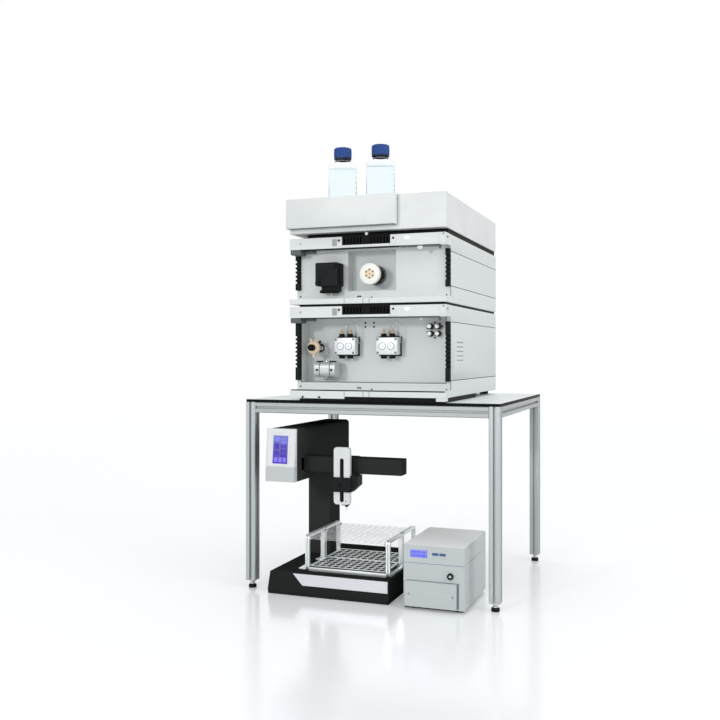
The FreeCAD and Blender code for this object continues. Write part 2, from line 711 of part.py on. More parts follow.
def make_pump_heads():
    top = PUMP_HEAD_Z + PUMP_HEAD_TALL / 2
    bottom = PUMP_HEAD_Z - PUMP_HEAD_TALL / 2
    valve_y = PUMP_HEAD_FRONT + CHECK_VALVE_FROM_FRONT
    plates = []
    valves = []
    fittings = []
    tubes = []
    for name, x in zip(("left", "right"), PUMP_HEAD_XS):
        save("pump_head_" + name, pump_head(x))
        half = PUMP_HEAD_WIDTH / 2
        plates.append(block(x - half, x + half, PUMP_HEAD_BACK, PUMP_PANEL_Y,
                            bottom - BACK_PLATE_EXTRA, top + BACK_PLATE_EXTRA))
        for px in plunger_xs(x):
            valves.append(check_valve(px, top, 1))
            valves.append(check_valve(px, bottom, -1))
            fitting_base = top + CHECK_VALVE_HEIGHT
            fittings.append(prism(V(px, valve_y, fitting_base), PUMP_FITTING_RADIUS,
                                  PUMP_FITTING_HEIGHT, NUT_SIDES, V(0, 0, 1)))
        tubes.append(capillary(plunger_xs(x)[1]))
    save("pump_back_plates", *plates)
    save("check_valves", *valves)
    save("pump_fittings", *fittings)
    save("steel_capillaries", *tubes)


def make_purge_valve():
    """A body with a plastic collar, radial ports and a black knob on its stem."""
    back = V(PURGE_X, PUMP_PANEL_Y, PURGE_Z)
    forward = V(0, -1, 0)
    length = PURGE_BODY_DEPTH + PURGE_DISC_DEPTH
    body = prism(back, PURGE_BODY_RADIUS, length - PAST, RIBBED_SIDES, forward)
    collar = prism(V(PURGE_X, PURGE_DISC_BACK, PURGE_Z), PURGE_DISC_RADIUS,
                   PURGE_DISC_DEPTH, CAP_RIBS, forward)
    bore = rod(V(PURGE_X, PURGE_DISC_FRONT, PURGE_Z), PURGE_STEM_RADIUS + RUNNING_CLEARANCE,
               PURGE_STEM_ENGAGEMENT + PAST, V(0, 1, 0))
    port_y = PURGE_DISC_BACK - PURGE_DISC_DEPTH / 2
    ports = []
    for angle in PURGE_PORT_ANGLES:
        direction = V(math.cos(math.radians(angle)), 0, math.sin(math.radians(angle)))
        start = V(PURGE_X, port_y, PURGE_Z).add(direction * (PURGE_DISC_RADIUS - 2 * PAST))
        ports.append(prism(start, PURGE_PORT_RADIUS, PURGE_PORT_LENGTH, NUT_SIDES, direction))
    side_y = PURGE_DISC_BACK + PURGE_BODY_DEPTH / 3
    ports.append(prism(V(PURGE_X + PURGE_BODY_RADIUS - 2 * PAST, side_y, PURGE_Z),
                       PURGE_PORT_RADIUS, PURGE_PORT_LENGTH, NUT_SIDES, V(1, 0, 0)))
    save("purge_valve", joined(body, collar, *ports).cut(bore))

    knob_back = PURGE_DISC_FRONT - LOOSE_CLEARANCE
    grip = prism(V(PURGE_X, knob_back, PURGE_Z), PURGE_KNOB_RADIUS, PURGE_KNOB_DEPTH,
                 RIBBED_SIDES, forward)
    stem_end = PURGE_DISC_FRONT + PURGE_STEM_ENGAGEMENT
    stem = rod(V(PURGE_X, stem_end, PURGE_Z), PURGE_STEM_RADIUS,
               stem_end - knob_back + PAST, forward)
    save("purge_knob", joined(grip, stem))


def make_mixer():
    """An eight-sided chamber with two clamp seams round it, carried by a foot on the panel."""
    z0 = PUMP_BASE + MIXER_ABOVE_BASE
    z1 = z0 + MIXER_HEIGHT
    front = PUMP_PANEL_Y - MIXER_DEPTH - MIXER_SEAM_INSET
    right = MIXER_LEFT + MIXER_WIDTH
    back = front + MIXER_DEPTH
    chamber = chamfered_block(MIXER_LEFT, right, front, back, z0, z1, MIXER_CHAMFER,
                              V(1, 0, 0))
    seams = []
    inside = MIXER_SEAM_DEPTH
    for x in (MIXER_LEFT + MIXER_SEAM_INSET, right - MIXER_SEAM_INSET):
        disc = block(x - MIXER_SEAM / 2, x + MIXER_SEAM / 2, front - PAST, back + PAST,
                     z0 - PAST, z1 + PAST)
        core = block(x - MIXER_SEAM, x + MIXER_SEAM, front + inside, back - inside,
                     z0 + inside, z1 - inside)
        seams.append(disc.cut(core))
    middle_x = (MIXER_LEFT + right) / 2
    middle_z = (z0 + z1) / 2
    foot = block(middle_x - MIXER_FOOT_WIDTH / 2, middle_x + MIXER_FOOT_WIDTH / 2,
                 back - inside - PAST, PUMP_PANEL_Y, middle_z - MIXER_FOOT_WIDTH / 2,
                 middle_z + MIXER_FOOT_WIDTH / 2)
    save("mixing_chamber", joined(chamber.cut(seams), foot))


def make_inlet_fittings():
    fittings = []
    for column in range(2):
        for row in range(2):
            x = INLET_FITTING_X + column * INLET_FITTING_PITCH_X
            z = PUMP_TOP - INLET_FITTING_DROP - row * INLET_FITTING_PITCH_Z
            fittings.append(prism(V(x, PUMP_PANEL_Y, z), INLET_FITTING_RADIUS,
                                  INLET_FITTING_DEPTH, RIBBED_SIDES, V(0, -1, 0)))
    save("inlet_fittings", *fittings)


def make_valve_module():
    body, cuts = housing_body(VALVE_BASE, VALVE_TOP)
    cuts += rear_cuts(VALVE_BASE, VALVE_TOP)
    bay_right = BAY_LEFT + BAY_WIDTH
    bay_top = BAY_BASE + BAY_HEIGHT
    sheet = PANEL_THICKNESS
    front_pocket = block(-RECESS_SIDE, RECESS_SIDE, BODY_FRONT - PAST, BODY_FRONT + sheet,
                         VALVE_PANEL_BASE, VALVE_PANEL_TOP)
    bay_pocket = block(BAY_LEFT - sheet, bay_right + sheet, BODY_FRONT, BAY_BACK + sheet,
                       BAY_BASE - sheet, min(bay_top + sheet, VALVE_TOP - sheet))
    save("valve_housing", body.cut(cuts + [front_pocket, bay_pocket]))

    face = block(-RECESS_SIDE, RECESS_SIDE, BODY_FRONT, BODY_FRONT + sheet,
                 VALVE_PANEL_BASE, VALVE_PANEL_TOP)
    inside = block(BAY_LEFT, bay_right, BODY_FRONT - PAST, BAY_BACK, BAY_BASE,
                   min(bay_top, VALVE_PANEL_TOP - sheet))
    save("valve_panel", joined(face, bay_pocket).cut(inside))


def make_injection_valve():
    """The six-port valve: a ported stator disc, a tubular neck, and the rotor inside it."""
    forward = V(0, -1, 0)
    x, z = INJECTION_X, INJECTION_Z
    stator = rod(V(x, NECK_FRONT, z), STATOR_RADIUS, STATOR_DEPTH, forward)
    ports = []
    for i in range(STATOR_PORT_COUNT):
        angle = math.radians(90 + i * 360 / STATOR_PORT_COUNT)
        px = x + STATOR_PORT_CIRCLE * math.cos(angle)
        pz = z + STATOR_PORT_CIRCLE * math.sin(angle)
        ports.append(prism(V(px, STATOR_FRONT, pz), STATOR_PORT_RADIUS, STATOR_PORT_DEPTH,
                           HOLE_SIDES, V(0, 1, 0)))
    save("valve_stator", stator.cut(ports))

    length = NECK_LENGTH + FLANGE_THICKNESS
    bore_floor = length - ROTOR_LENGTH - 2 * LOOSE_CLEARANCE
    flange = prism(V(x, BAY_BACK, z), FLANGE_RADIUS, FLANGE_THICKNESS, CAP_RIBS, forward)
    neck = rod(V(x, BAY_BACK, z), NECK_RADIUS, length, forward)
    hollow = rod(V(x, NECK_FRONT, z), ROTOR_RADIUS + RUNNING_CLEARANCE, length - bore_floor,
                 V(0, 1, 0))
    save("valve_neck", joined(flange, neck).cut(hollow))
    rotor_back = BAY_BACK - bore_floor - LOOSE_CLEARANCE
    save("valve_rotor", rod(V(x, rotor_back, z), ROTOR_RADIUS, ROTOR_LENGTH, forward))


def thumb_screw_places():
    inset = THUMB_SCREW_INSET
    right = CELL_LEFT + CELL_WIDTH
    return {
        "lower": (CELL_LEFT + inset, CELL_BASE + inset),
        "upper": (right - inset, CELL_BASE + CELL_HEIGHT - inset),
    }


def make_flow_cell():
    """The black cell box on its shoe, held by two thumb screws through its corners."""
    right = CELL_LEFT + CELL_WIDTH
    top = CELL_BASE + CELL_HEIGHT
    box = chamfered_block(CELL_LEFT, right, CELL_FRONT, BODY_FRONT, CELL_BASE, top,
                          CELL_EDGE_CHAMFER, V(0, 1, 0))
    shoe = block(CELL_LEFT + CELL_SHOE_INSET, right - CELL_SHOE_INSET / 2,
                 BODY_FRONT - CELL_SHOE_DEPTH, BODY_FRONT, CELL_BASE - CELL_SHOE_HEIGHT,
                 CELL_BASE + PAST)
    bore = THUMB_SCREW_SHANK_RADIUS + RUNNING_CLEARANCE
    holes = [rod(V(x, CELL_FRONT, z), bore, THUMB_SCREW_SHANK + PAST, V(0, 1, 0))
             for x, z in thumb_screw_places().values()]
    save("flow_cell", joined(box, shoe).cut(holes))
    for name, (x, z) in thumb_screw_places().items():
        head = prism(V(x, CELL_FRONT - LOOSE_CLEARANCE, z), THUMB_SCREW_RADIUS,
                     THUMB_SCREW_HEAD - LOOSE_CLEARANCE, RIBBED_SIDES, V(0, -1, 0))
        shank = rod(V(x, CELL_FRONT - THUMB_SCREW_HEAD / 2, z), THUMB_SCREW_SHANK_RADIUS,
                    THUMB_SCREW_SHANK + THUMB_SCREW_HEAD / 2, V(0, 1, 0))
        save("cell_thumb_screw_" + name, joined(head, shank))


def top_bar(top):
    """The front bar along a module's top edge, with the pocket that takes its grille."""
    side = MODULE_SIDE
    base = top - TOP_BAR_HEIGHT
    bar = block(-side, side, TOWER_FRONT, BODY_FRONT, base, top)
    corners = [e for e in edges_along(bar, V(0, 0, 1)) if e.Vertexes[0].Y < BODY_FRONT - PAST]
    bar = bar.makeChamfer(BAR_CORNER_CHAMFER, corners)
    pocket = block(GRILLE_LEFT, GRILLE_LEFT + GRILLE_WIDTH, TOWER_FRONT - PAST,
                   TOWER_FRONT + GRILLE_DEPTH, base + GRILLE_LOWER_LIP, top + PAST)
    return bar.cut(pocket)


def vent_grille(top):
    """A black grille: vertical slots left and right of a plain middle piece."""
    base = top - TOP_BAR_HEIGHT + GRILLE_LOWER_LIP
    right = GRILLE_LEFT + GRILLE_WIDTH
    grille = block(GRILLE_LEFT, right, TOWER_FRONT, TOWER_FRONT + GRILLE_DEPTH, base, top)
    middle = GRILLE_LEFT + GRILLE_WIDTH / 2
    first = GRILLE_CENTRE_WIDTH / 2 + GRILLE_SLOT_PITCH / 2
    slots = []
    for side in (-1, 1):
        for i in range(GRILLE_SLOT_COUNT):
            x = middle + side * (first + i * GRILLE_SLOT_PITCH)
            slots.append(block(x - GRILLE_SLOT_WIDTH / 2, x + GRILLE_SLOT_WIDTH / 2,
                               TOWER_FRONT - PAST, TOWER_FRONT + GRILLE_SLOT_DEPTH,
                               base + GRILLE_SLOT_MARGIN, top - GRILLE_SLOT_MARGIN))
    return grille.cut(slots)


def bottom_bar(base):
    bar = block(-MODULE_SIDE, MODULE_SIDE, TOWER_FRONT, BODY_FRONT, base,
                base + BOTTOM_BAR_HEIGHT)
    corners = [e for e in edges_along(bar, V(0, 0, 1)) if e.Vertexes[0].Y < BODY_FRONT - PAST]
    return bar.makeChamfer(BAR_CORNER_CHAMFER, corners)


def tubing_guide(base, length, notches):
    """A black strip whose front has notches that hold the capillaries."""
    front = BODY_FRONT - GUIDE_DEPTH
    strip = block(RECESS_SIDE, MODULE_SIDE, front, BODY_FRONT, base, base + length)
    middle = base + length / 2
    cuts = []
    for i in range(notches):
        z = middle + (i - (notches - 1) / 2) * GUIDE_NOTCH_PITCH
        cuts.append(prism(V(RECESS_SIDE - PAST, front, z), GUIDE_NOTCH_RADIUS,
                          GUIDE_WIDTH + 2 * PAST, NUT_SIDES, V(1, 0, 0)))
    return strip.cut(cuts)


def make_module_fronts():
    save("top_bars", top_bar(PUMP_TOP), top_bar(VALVE_TOP))
    save("vent_grilles", vent_grille(PUMP_TOP), vent_grille(VALVE_TOP))
    save("bottom_bars", bottom_bar(PUMP_BASE), bottom_bar(VALVE_BASE))
    pump_guide = tubing_guide(PUMP_RECESS_BASE + GUIDE_FROM_RECESS, PUMP_GUIDE_LENGTH,
                              PUMP_GUIDE_NOTCHES)
    valve_guide = tubing_guide(VALVE_PANEL_BASE + VALVE_GUIDE_LIFT, VALVE_GUIDE_LENGTH,
                               VALVE_GUIDE_NOTCHES)
    save("tubing_guides", pump_guide, mirrored(pump_guide), valve_guide, mirrored(valve_guide))


def make_tray():
    side = MODULE_SIDE
    body = chamfered_block(-side, side, TOWER_FRONT, BODY_BACK, TRAY_BASE, TRAY_TOP,
                           TRAY_CORNER_CHAMFER)
    inside = side - TRAY_WALL
    well = chamfered_block(-inside, inside, TOWER_FRONT + TRAY_WALL, BODY_BACK - TRAY_WALL,
                           TRAY_FLOOR, TRAY_TOP + PAST, TRAY_CORNER_CHAMFER)
    save("eluent_tray", body.cut(well))
    plate = block(-side, -side + TRAY_PLATE_WIDTH, TOWER_FRONT - TRAY_PLATE_THICKNESS,
                  TOWER_FRONT, TRAY_BASE + TRAY_PLATE_LIFT, TRAY_TOP)
    front_edges = [e for e in plate.Edges
                   if max(v.Y for v in e.Vertexes) < TOWER_FRONT - TRAY_PLATE_THICKNESS + PAST]
    save("tray_front_plate", plate.makeChamfer(TRAY_PLATE_EDGE, front_edges))


def bottle(x):
    """A blown glass bottle with one wall all round, open at its neck."""
    outer = [
        (BOTTLE_RADIUS, TRAY_FLOOR),
        (BOTTLE_RADIUS, BOTTLE_SHOULDER_Z),
        (BOTTLE_NECK_RADIUS, BOTTLE_NECK_Z),
        (BOTTLE_NECK_RADIUS, BOTTLE_MOUTH_Z),
    ]
    inner = [
        (BOTTLE_INSIDE, TRAY_FLOOR + BOTTLE_BASE),
        (BOTTLE_INSIDE, BOTTLE_SHOULDER_Z - BOTTLE_GLASS / 2),
        (NECK_INSIDE, BOTTLE_NECK_Z),
        (NECK_INSIDE, BOTTLE_MOUTH_Z + PAST),
    ]
    glass = faceted(outer, x, BOTTLE_Y, BOTTLE_SIDES)
    return glass.cut(faceted(inner, x, BOTTLE_Y, BOTTLE_SIDES))


def eluent(x):
    """The liquid in a bottle, up to just below its shoulder."""
    floor = TRAY_FLOOR + BOTTLE_BASE
    surface = BOTTLE_SHOULDER_Z - BOTTLE_GLASS
    return prism(V(x, BOTTLE_Y, floor), BOTTLE_INSIDE - RUNNING_CLEARANCE, surface - floor,
                 BOTTLE_SIDES, V(0, 0, 1))


def bottle_cap(x):
    """A ribbed screw cap that sits over the mouth and turns on the neck."""
    ceiling = BOTTLE_MOUTH_Z + LOOSE_CLEARANCE
    base = ceiling + CAP_TOP_THICKNESS - CAP_HEIGHT
    up = V(0, 0, 1)
    shell = prism(V(x, BOTTLE_Y, base), CAP_RADIUS, CAP_HEIGHT, CAP_RIBS, up)
    bore = rod(V(x, BOTTLE_Y, base), BOTTLE_NECK_RADIUS + LOOSE_CLEARANCE, ceiling - base, up)
    return shell.cut(bore)


def make_bottles():
    left, right = BOTTLE_XS
    save("bottle_left", bottle(left))
    save("bottle_right", bottle(right))
    save("bottle_cap_left", bottle_cap(left))
    save("bottle_cap_right", bottle_cap(right))
    save("eluent_fillings", eluent(left), eluent(right))


def make_collector_body():
    """The base with its drawn-in front corner and trim, the column and the beam on it."""
    z0, z1 = BASE_FOOT_HEIGHT, BASE_TOP
    front = COLLECTOR_FRONT
    outline = [
        V(BASE_LEFT, front, z0),
        V(BASE_RIGHT, front, z0),
        V(BASE_RIGHT, front, z1),
        V(BASE_LEFT + BASE_TAPER, front, z1),
    ]
    base = extruded(outline, V(0, BASE_DEPTH, 0))
    base = base.makeChamfer(BASE_EDGE_CHAMFER, edges_along(base, V(0, 1, 0)))
    slot_front = BASE_BACK - BASE_SLOT_FROM_BACK
    slot = chamfered_block(BASE_LEFT + BASE_SLOT_INSET, BASE_RIGHT - BASE_SLOT_WIDTH,
                           slot_front, slot_front + BASE_SLOT_WIDTH, z1 - BASE_SLOT_DEPTH,
                           z1 + PAST, BASE_SLOT_CHAMFER)
    save("collector_base", base.cut(slot))

    trim_top = z1 - TRIM_TOP_GAP
    trim_left = BASE_LEFT + TRIM_TOP_LEFT
    trim_right = BASE_RIGHT - BASE_EDGE_CHAMFER
    trim = extruded([
        V(trim_left, front, trim_top),
        V(trim_left + TRIM_SLANT, front, trim_top - TRIM_HEIGHT),
        V(trim_right, front, trim_top - TRIM_HEIGHT),
        V(trim_right, front, trim_top),
    ], V(0, -TRIM_THICKNESS, 0))
    save("collector_trim", trim)

    column_left = BASE_LEFT + COLUMN_INSET
    column_front = COLLECTOR_FRONT + COLUMN_FROM_FRONT
    column = chamfered_block(column_left, column_left + COLUMN_WIDTH, column_front,
                             column_front + COLUMN_DEPTH, BASE_TOP, BEAM_BOTTOM,
                             COLUMN_EDGE_CHAMFER)
    save("collector_column", column)

    beam = block(BASE_LEFT, BEAM_RIGHT, BEAM_FRONT, BEAM_FRONT + BEAM_DEPTH,
                 BEAM_BOTTOM, BEAM_TOP)
    upper = [e for e in edges_along(beam, V(0, 1, 0)) if e.Vertexes[0].Z > BEAM_TOP - PAST]
    beam = beam.makeFillet(BEAM_EDGE_RADIUS, upper)
    runner_inset = TONGUE_INSET - LOOSE_CLEARANCE
    slot = block(BEAM_RIGHT - ARM_TONGUE - LOOSE_CLEARANCE, BEAM_RIGHT + PAST,
                 BEAM_FRONT + BEAM_SLOT_FRONT, BEAM_FRONT + BEAM_SLOT_FRONT + BEAM_SLOT_LENGTH,
                 ARM_Z + runner_inset, ARM_TOP - runner_inset)
    save("collector_beam", beam.cut(slot))


def make_console():
    """The white console: its upper part leans back, below a kink it stands upright."""
    x0 = BASE_LEFT - CONSOLE_WIDER
    x1 = BEAM_RIGHT
    kink = BEAM_BOTTOM + CONSOLE_KINK_HEIGHT
    front = BEAM_FRONT - CONSOLE_THICKNESS
    lean = CONSOLE_LEAN
    side = [
        V(x0, BEAM_FRONT, BEAM_BOTTOM),
        V(x0, front, BEAM_BOTTOM),
        V(x0, front, kink),
        V(x0, front + lean, BEAM_TOP),
        V(x0, BEAM_FRONT, BEAM_TOP),
    ]
    console = extruded(side, V(x1 - x0, 0, 0))
    rise = BEAM_TOP - kink
    slope = lean / rise
    ends = [e for e in console.Edges
            if abs(e.Vertexes[0].X - e.Vertexes[-1].X) < 1e-6
            and max(v.Y for v in e.Vertexes) < BEAM_FRONT - PAST]
    console = console.makeFillet(CONSOLE_EDGE_RADIUS, ends)

    screen_x0 = (x0 + x1) / 2 - SCREEN_WIDTH / 2
    z0 = kink + SCREEN_LIFT
    z1 = z0 + SCREEN_HEIGHT
    y0 = front + slope * (z0 - kink)
    y1 = front + slope * (z1 - kink)
    screen = extruded([
        V(screen_x0, y0, z0),
        V(screen_x0, y1, z1),
        V(screen_x0, y1 + SCREEN_DEPTH, z1),
        V(screen_x0, y0 + SCREEN_DEPTH, z0),
    ], V(SCREEN_WIDTH, 0, 0))
    save("console", console.cut(screen))
    save("console_screen", screen)


def make_arm():
    arm = chamfered_block(ARM_ROOT, ARM_TIP, ARM_FRONT, ARM_BACK, ARM_Z, ARM_TOP,
                          ARM_EDGE_CHAMFER, V(1, 0, 0))
    tongue = block(BEAM_RIGHT - ARM_TONGUE, ARM_ROOT + PAST, ARM_FRONT + TONGUE_INSET,
                   ARM_BACK - TONGUE_INSET, ARM_Z + TONGUE_INSET, ARM_TOP - TONGUE_INSET)
    save("collector_arm", joined(arm, tongue))


def make_carriage():
    """A saddle round the arm's front, underside and back, with the clamp that holds the head."""
    gap = LOOSE_CLEARANCE
    left = HEAD_LEFT - gap - CLAMP_WALL
    right = HEAD_RIGHT + gap + CLAMP_WALL
    clamp_front = HEAD_FRONT - gap - CLAMP_WALL
    saddle_front = ARM_FRONT - gap
    clamp = block(left, right, clamp_front, saddle_front - CARRIAGE_WALL + PAST,
                  CLAMP_BOTTOM, CLAMP_TOP)
    channel = block(HEAD_LEFT - gap, HEAD_RIGHT + gap, HEAD_FRONT - gap, HEAD_BACK + gap,
                    CLAMP_BOTTOM - PAST, CLAMP_TOP + PAST)
    saddle_x0 = HEAD_MIDDLE - CARRIAGE_WIDTH / 2
    saddle_x1 = HEAD_MIDDLE + CARRIAGE_WIDTH / 2
    upright = block(saddle_x0, saddle_x1, saddle_front - CARRIAGE_WALL, saddle_front,
                    CLAMP_BOTTOM, ARM_TOP)
    under = block(saddle_x0, saddle_x1, saddle_front - PAST, ARM_BACK + gap + CARRIAGE_WALL,
                  ARM_Z - gap - CARRIAGE_WALL, ARM_Z - gap)
    back = block(saddle_x0, saddle_x1, ARM_BACK + gap, ARM_BACK + gap + CARRIAGE_WALL,
                 ARM_Z - gap - CARRIAGE_WALL, ARM_TOP)
    side = extruded([
        V(right - PAST, saddle_front, CLAMP_BOTTOM),
        V(right - PAST, saddle_front, ARM_Z - gap),
        V(right + CLAMP_SIDE_BLOCK, saddle_front, ARM_Z - gap),
        V(right + CLAMP_SIDE_BLOCK, saddle_front, CLAMP_BOTTOM + CLAMP_SIDE_DROP),
    ], V(0, clamp_front + CLAMP_WALL - saddle_front, 0))
    save("head_carriage", joined(clamp.cut(channel), upright, under, back, side))


def make_head():
    """The slotted plate that carries the dispensing nozzle and slides in the clamp."""
    plate = rounded_block(HEAD_LEFT, HEAD_RIGHT, HEAD_FRONT, HEAD_BACK, HEAD_BOTTOM, HEAD_TOP,
                          HEAD_CORNER_RADIUS, V(0, 1, 0))
    slot_x0 = HEAD_MIDDLE - HEAD_SLOT_WIDTH / 2
    slot = chamfered_block(slot_x0, slot_x0 + HEAD_SLOT_WIDTH, HEAD_FRONT - PAST,
                           HEAD_BACK + PAST, HEAD_BOTTOM + HEAD_SLOT_BOTTOM,
                           HEAD_TOP - HEAD_SLOT_TOP, HEAD_SLOT_CHAMFER, V(0, 1, 0))
    save("head_plate", plate.cut(slot))
    nozzle_y = (HEAD_FRONT + HEAD_BACK) / 2
    top = V(HEAD_MIDDLE + HEAD_SLOT_WIDTH, nozzle_y, HEAD_BOTTOM)
    down = V(0, 0, -1)
    holder = prism(top, NOZZLE_RADIUS, NOZZLE_LENGTH, NUT_SIDES, down)
    tip = prism(top, NOZZLE_TIP_RADIUS, NOZZLE_LENGTH + NOZZLE_TIP_LENGTH, RIBBED_SIDES, down)
    save("dispensing_nozzle", joined(holder, tip))


def rack_end(x0, y0, y1):
    """An open end frame: one bar bent round a rectangle, its corners cut off."""
    outer = chamfered_block(x0, x0 + RACK_POST, y0, y1, BASE_TOP, RACK_TOP,
                            RACK_CORNER_CHAMFER, V(1, 0, 0))
    strap = RACK_STRAP
    window = chamfered_block(x0 - PAST, x0 + RACK_POST + PAST, y0 + strap, y1 - strap,
                             BASE_TOP + RACK_FLOOR, RACK_TOP - strap, RACK_WINDOW_CHAMFER,
                             V(1, 0, 0))
    return outer.cut(window)


def rack_frame(y0):
    """Two end frames on a tray-like floor with an ear at the left."""
    y1 = y0 + RACK_DEPTH
    floor = block(RACK_LEFT, RACK_RIGHT, y0 + RACK_STRAP, y1 - RACK_STRAP, BASE_TOP,
                  BASE_TOP + RACK_FLOOR)
    ear = block(RACK_LEFT - RACK_EAR, RACK_LEFT + PAST, y0 + RACK_STRAP,
                y0 + RACK_STRAP + RACK_EAR_DEPTH, BASE_TOP, BASE_TOP + RACK_FLOOR)
    sill_left = RACK_LEFT + RACK_POST - PAST
    sill_right = RACK_RIGHT - RACK_POST + PAST
    sills = []
    for sill_y in (y0, y1 - RACK_STRAP):
        sills.append(block(sill_left, sill_right, sill_y, sill_y + RACK_STRAP, BASE_TOP,
                           BASE_TOP + LOWER_PLATE_LIFT))
    return joined(rack_end(RACK_LEFT, y0, y1), rack_end(RACK_RIGHT - RACK_POST, y0, y1),
                  floor, ear, *sills)


def tube_plate(y0, z0, hole):
    """A plate between the end frames with a grid of holes that keep the tubes upright."""
    x0 = RACK_LEFT + RACK_POST
    x1 = RACK_RIGHT - RACK_POST
    y1 = y0 + RACK_DEPTH
    plate = block(x0, x1, y0, y1, z0, z0 + TUBE_PLATE_THICKNESS)
    pitch_x = (x1 - x0 - 2 * TUBE_MARGIN) / TUBE_COLUMNS
    pitch_y = (y1 - y0 - 2 * TUBE_MARGIN) / TUBE_ROWS
    size = min(hole, pitch_x - TUBE_WEB)
    holes = []
    for i in range(TUBE_COLUMNS):
        for j in range(TUBE_ROWS):
            x = x0 + TUBE_MARGIN + (i + 0.5) * pitch_x
            y = y0 + TUBE_MARGIN + (j + 0.5) * pitch_y
            holes.append(block(x - size / 2, x + size / 2, y - size / 2, y + size / 2,
                               z0 - PAST, z0 + TUBE_PLATE_THICKNESS + PAST))
    return plate.cut(holes)


def make_racks():
    fronts = (RACK_FRONT, RACK_FRONT + RACK_DEPTH + RACK_GAP)
    save("rack_frames", *[rack_frame(y0) for y0 in fronts])
    lower = BASE_TOP + LOWER_PLATE_LIFT
    upper = RACK_TOP - UPPER_PLATE_DROP
    save("rack_lower_plates", *[tube_plate(y0, lower, LOWER_HOLE) for y0 in fronts])
    save("rack_upper_plates", *[tube_plate(y0, upper, UPPER_HOLE) for y0 in fronts])


def make_detector():
    """A two-part case with a raised door, a display, two keys and one round socket."""
    x0, x1 = DETECTOR_LEFT, DETECTOR_RIGHT
    front, back = DETECTOR_FRONT, DETECTOR_BACK
    z0 = DETECTOR_FOOT_HEIGHT
    lower = chamfered_block(x0, x1, front, back, z0, DETECTOR_SEAM_Z - DETECTOR_SEAM,
                            DETECTOR_EDGE_CHAMFER)
    inset = DETECTOR_NECK_INSET
    neck = block(x0 + inset, x1 - inset, front + inset, back - inset,
                 DETECTOR_SEAM_Z - DETECTOR_SEAM - PAST, DETECTOR_SEAM_Z)
    save("detector_case", joined(lower, neck))

    lid = chamfered_block(x0, x1, front, back, DETECTOR_SEAM_Z, DETECTOR_TOP,
                          DETECTOR_EDGE_CHAMFER)
    display_x0 = x0 + DISPLAY_INSET
    display_z0 = DETECTOR_SEAM_Z + DISPLAY_LIFT
    display = block(display_x0, display_x0 + DISPLAY_WIDTH, front, front + DISPLAY_DEPTH,
                    display_z0, display_z0 + DISPLAY_HEIGHT)
    wells = [display]
    key_z = DETECTOR_SEAM_Z + KEY_LIFT
    for name, inset in zip(("left", "right"), KEY_INSETS):
        wells.append(block(x0 + inset - LOOSE_CLEARANCE, x0 + inset + KEY_WIDTH + LOOSE_CLEARANCE,
                           front - PAST, front + KEY_DEPTH + KEY_TRAVEL,
                           key_z - LOOSE_CLEARANCE, key_z + KEY_HEIGHT + LOOSE_CLEARANCE))
        key = chamfered_block(x0 + inset, x0 + inset + KEY_WIDTH, front - KEY_PROUD,
                              front + KEY_DEPTH - LOOSE_CLEARANCE, key_z, key_z + KEY_HEIGHT,
                              KEY_EDGE_CHAMFER, V(0, 1, 0))
        save("detector_key_" + name, key)
    save("detector_lid", lid.cut(wells))
    save("detector_display", display)

    door_x0 = x0 + DOOR_INSET
    door_z0 = z0 + DOOR_LIFT
    door = chamfered_block(door_x0, door_x0 + DOOR_WIDTH, front - DOOR_THICKNESS, front,
                           door_z0, door_z0 + DOOR_HEIGHT, DOOR_EDGE_CHAMFER, V(0, 1, 0))
    dimples = [prism(V(x, front - DOOR_THICKNESS, door_z0 + DOOR_HEIGHT / 2),
                     DOOR_DIMPLE_RADIUS, DOOR_DIMPLE_DEPTH, HOLE_SIDES, V(0, 1, 0))
               for x in (door_x0 + DOOR_DIMPLE_INSET, door_x0 + DOOR_WIDTH - DOOR_DIMPLE_INSET)]
    save("detector_door", door.cut(dimples))
    centre = V(x0 + SOCKET_INSET, front, z0 + SOCKET_LIFT)
    forward = V(0, -1, 0)
    collar = prism(centre, SOCKET_RADIUS, SOCKET_DEPTH, CAP_RIBS, forward)
    save("detector_socket", collar.cut(prism(centre, SOCKET_BORE, SOCKET_DEPTH, CAP_RIBS,
                                             forward)))


def feet_under(x0, x1, y0, y1, floor, height, radius, inset):
    """Four small feet under the corners of a case."""
    return [prism(V(x, y, floor), radius, height, FOOT_SIDES, V(0, 0, 1))
            for x in (x0 + inset, x1 - inset) for y in (y0 + inset, y1 - inset)]


def make_rubber_feet():
    side = MODULE_SIDE
    feet = feet_under(-side, side, BODY_FRONT, BODY_BACK, BENCH_HEIGHT, PUMP_FOOT_HEIGHT,
                      MODULE_FOOT_RADIUS, MODULE_FOOT_INSET)
    feet += feet_under(-side, side, BODY_FRONT, BODY_BACK, PUMP_TOP, VALVE_FOOT_HEIGHT,
                       MODULE_FOOT_RADIUS, MODULE_FOOT_INSET)
    feet += feet_under(-side, side, BODY_FRONT, BODY_BACK, VALVE_TOP, TRAY_FOOT_HEIGHT,
                       MODULE_FOOT_RADIUS, MODULE_FOOT_INSET)
    save("module_feet", *feet)
    floor_feet = feet_under(BASE_LEFT, BASE_RIGHT, COLLECTOR_FRONT, BASE_BACK, 0,
                            BASE_FOOT_HEIGHT, SMALL_FOOT_RADIUS, SMALL_FOOT_INSET)
    floor_feet += feet_under(DETECTOR_LEFT, DETECTOR_RIGHT, DETECTOR_FRONT, DETECTOR_BACK, 0,
                             DETECTOR_FOOT_HEIGHT, SMALL_FOOT_RADIUS, SMALL_FOOT_INSET)
    save("floor_feet", *floor_feet)


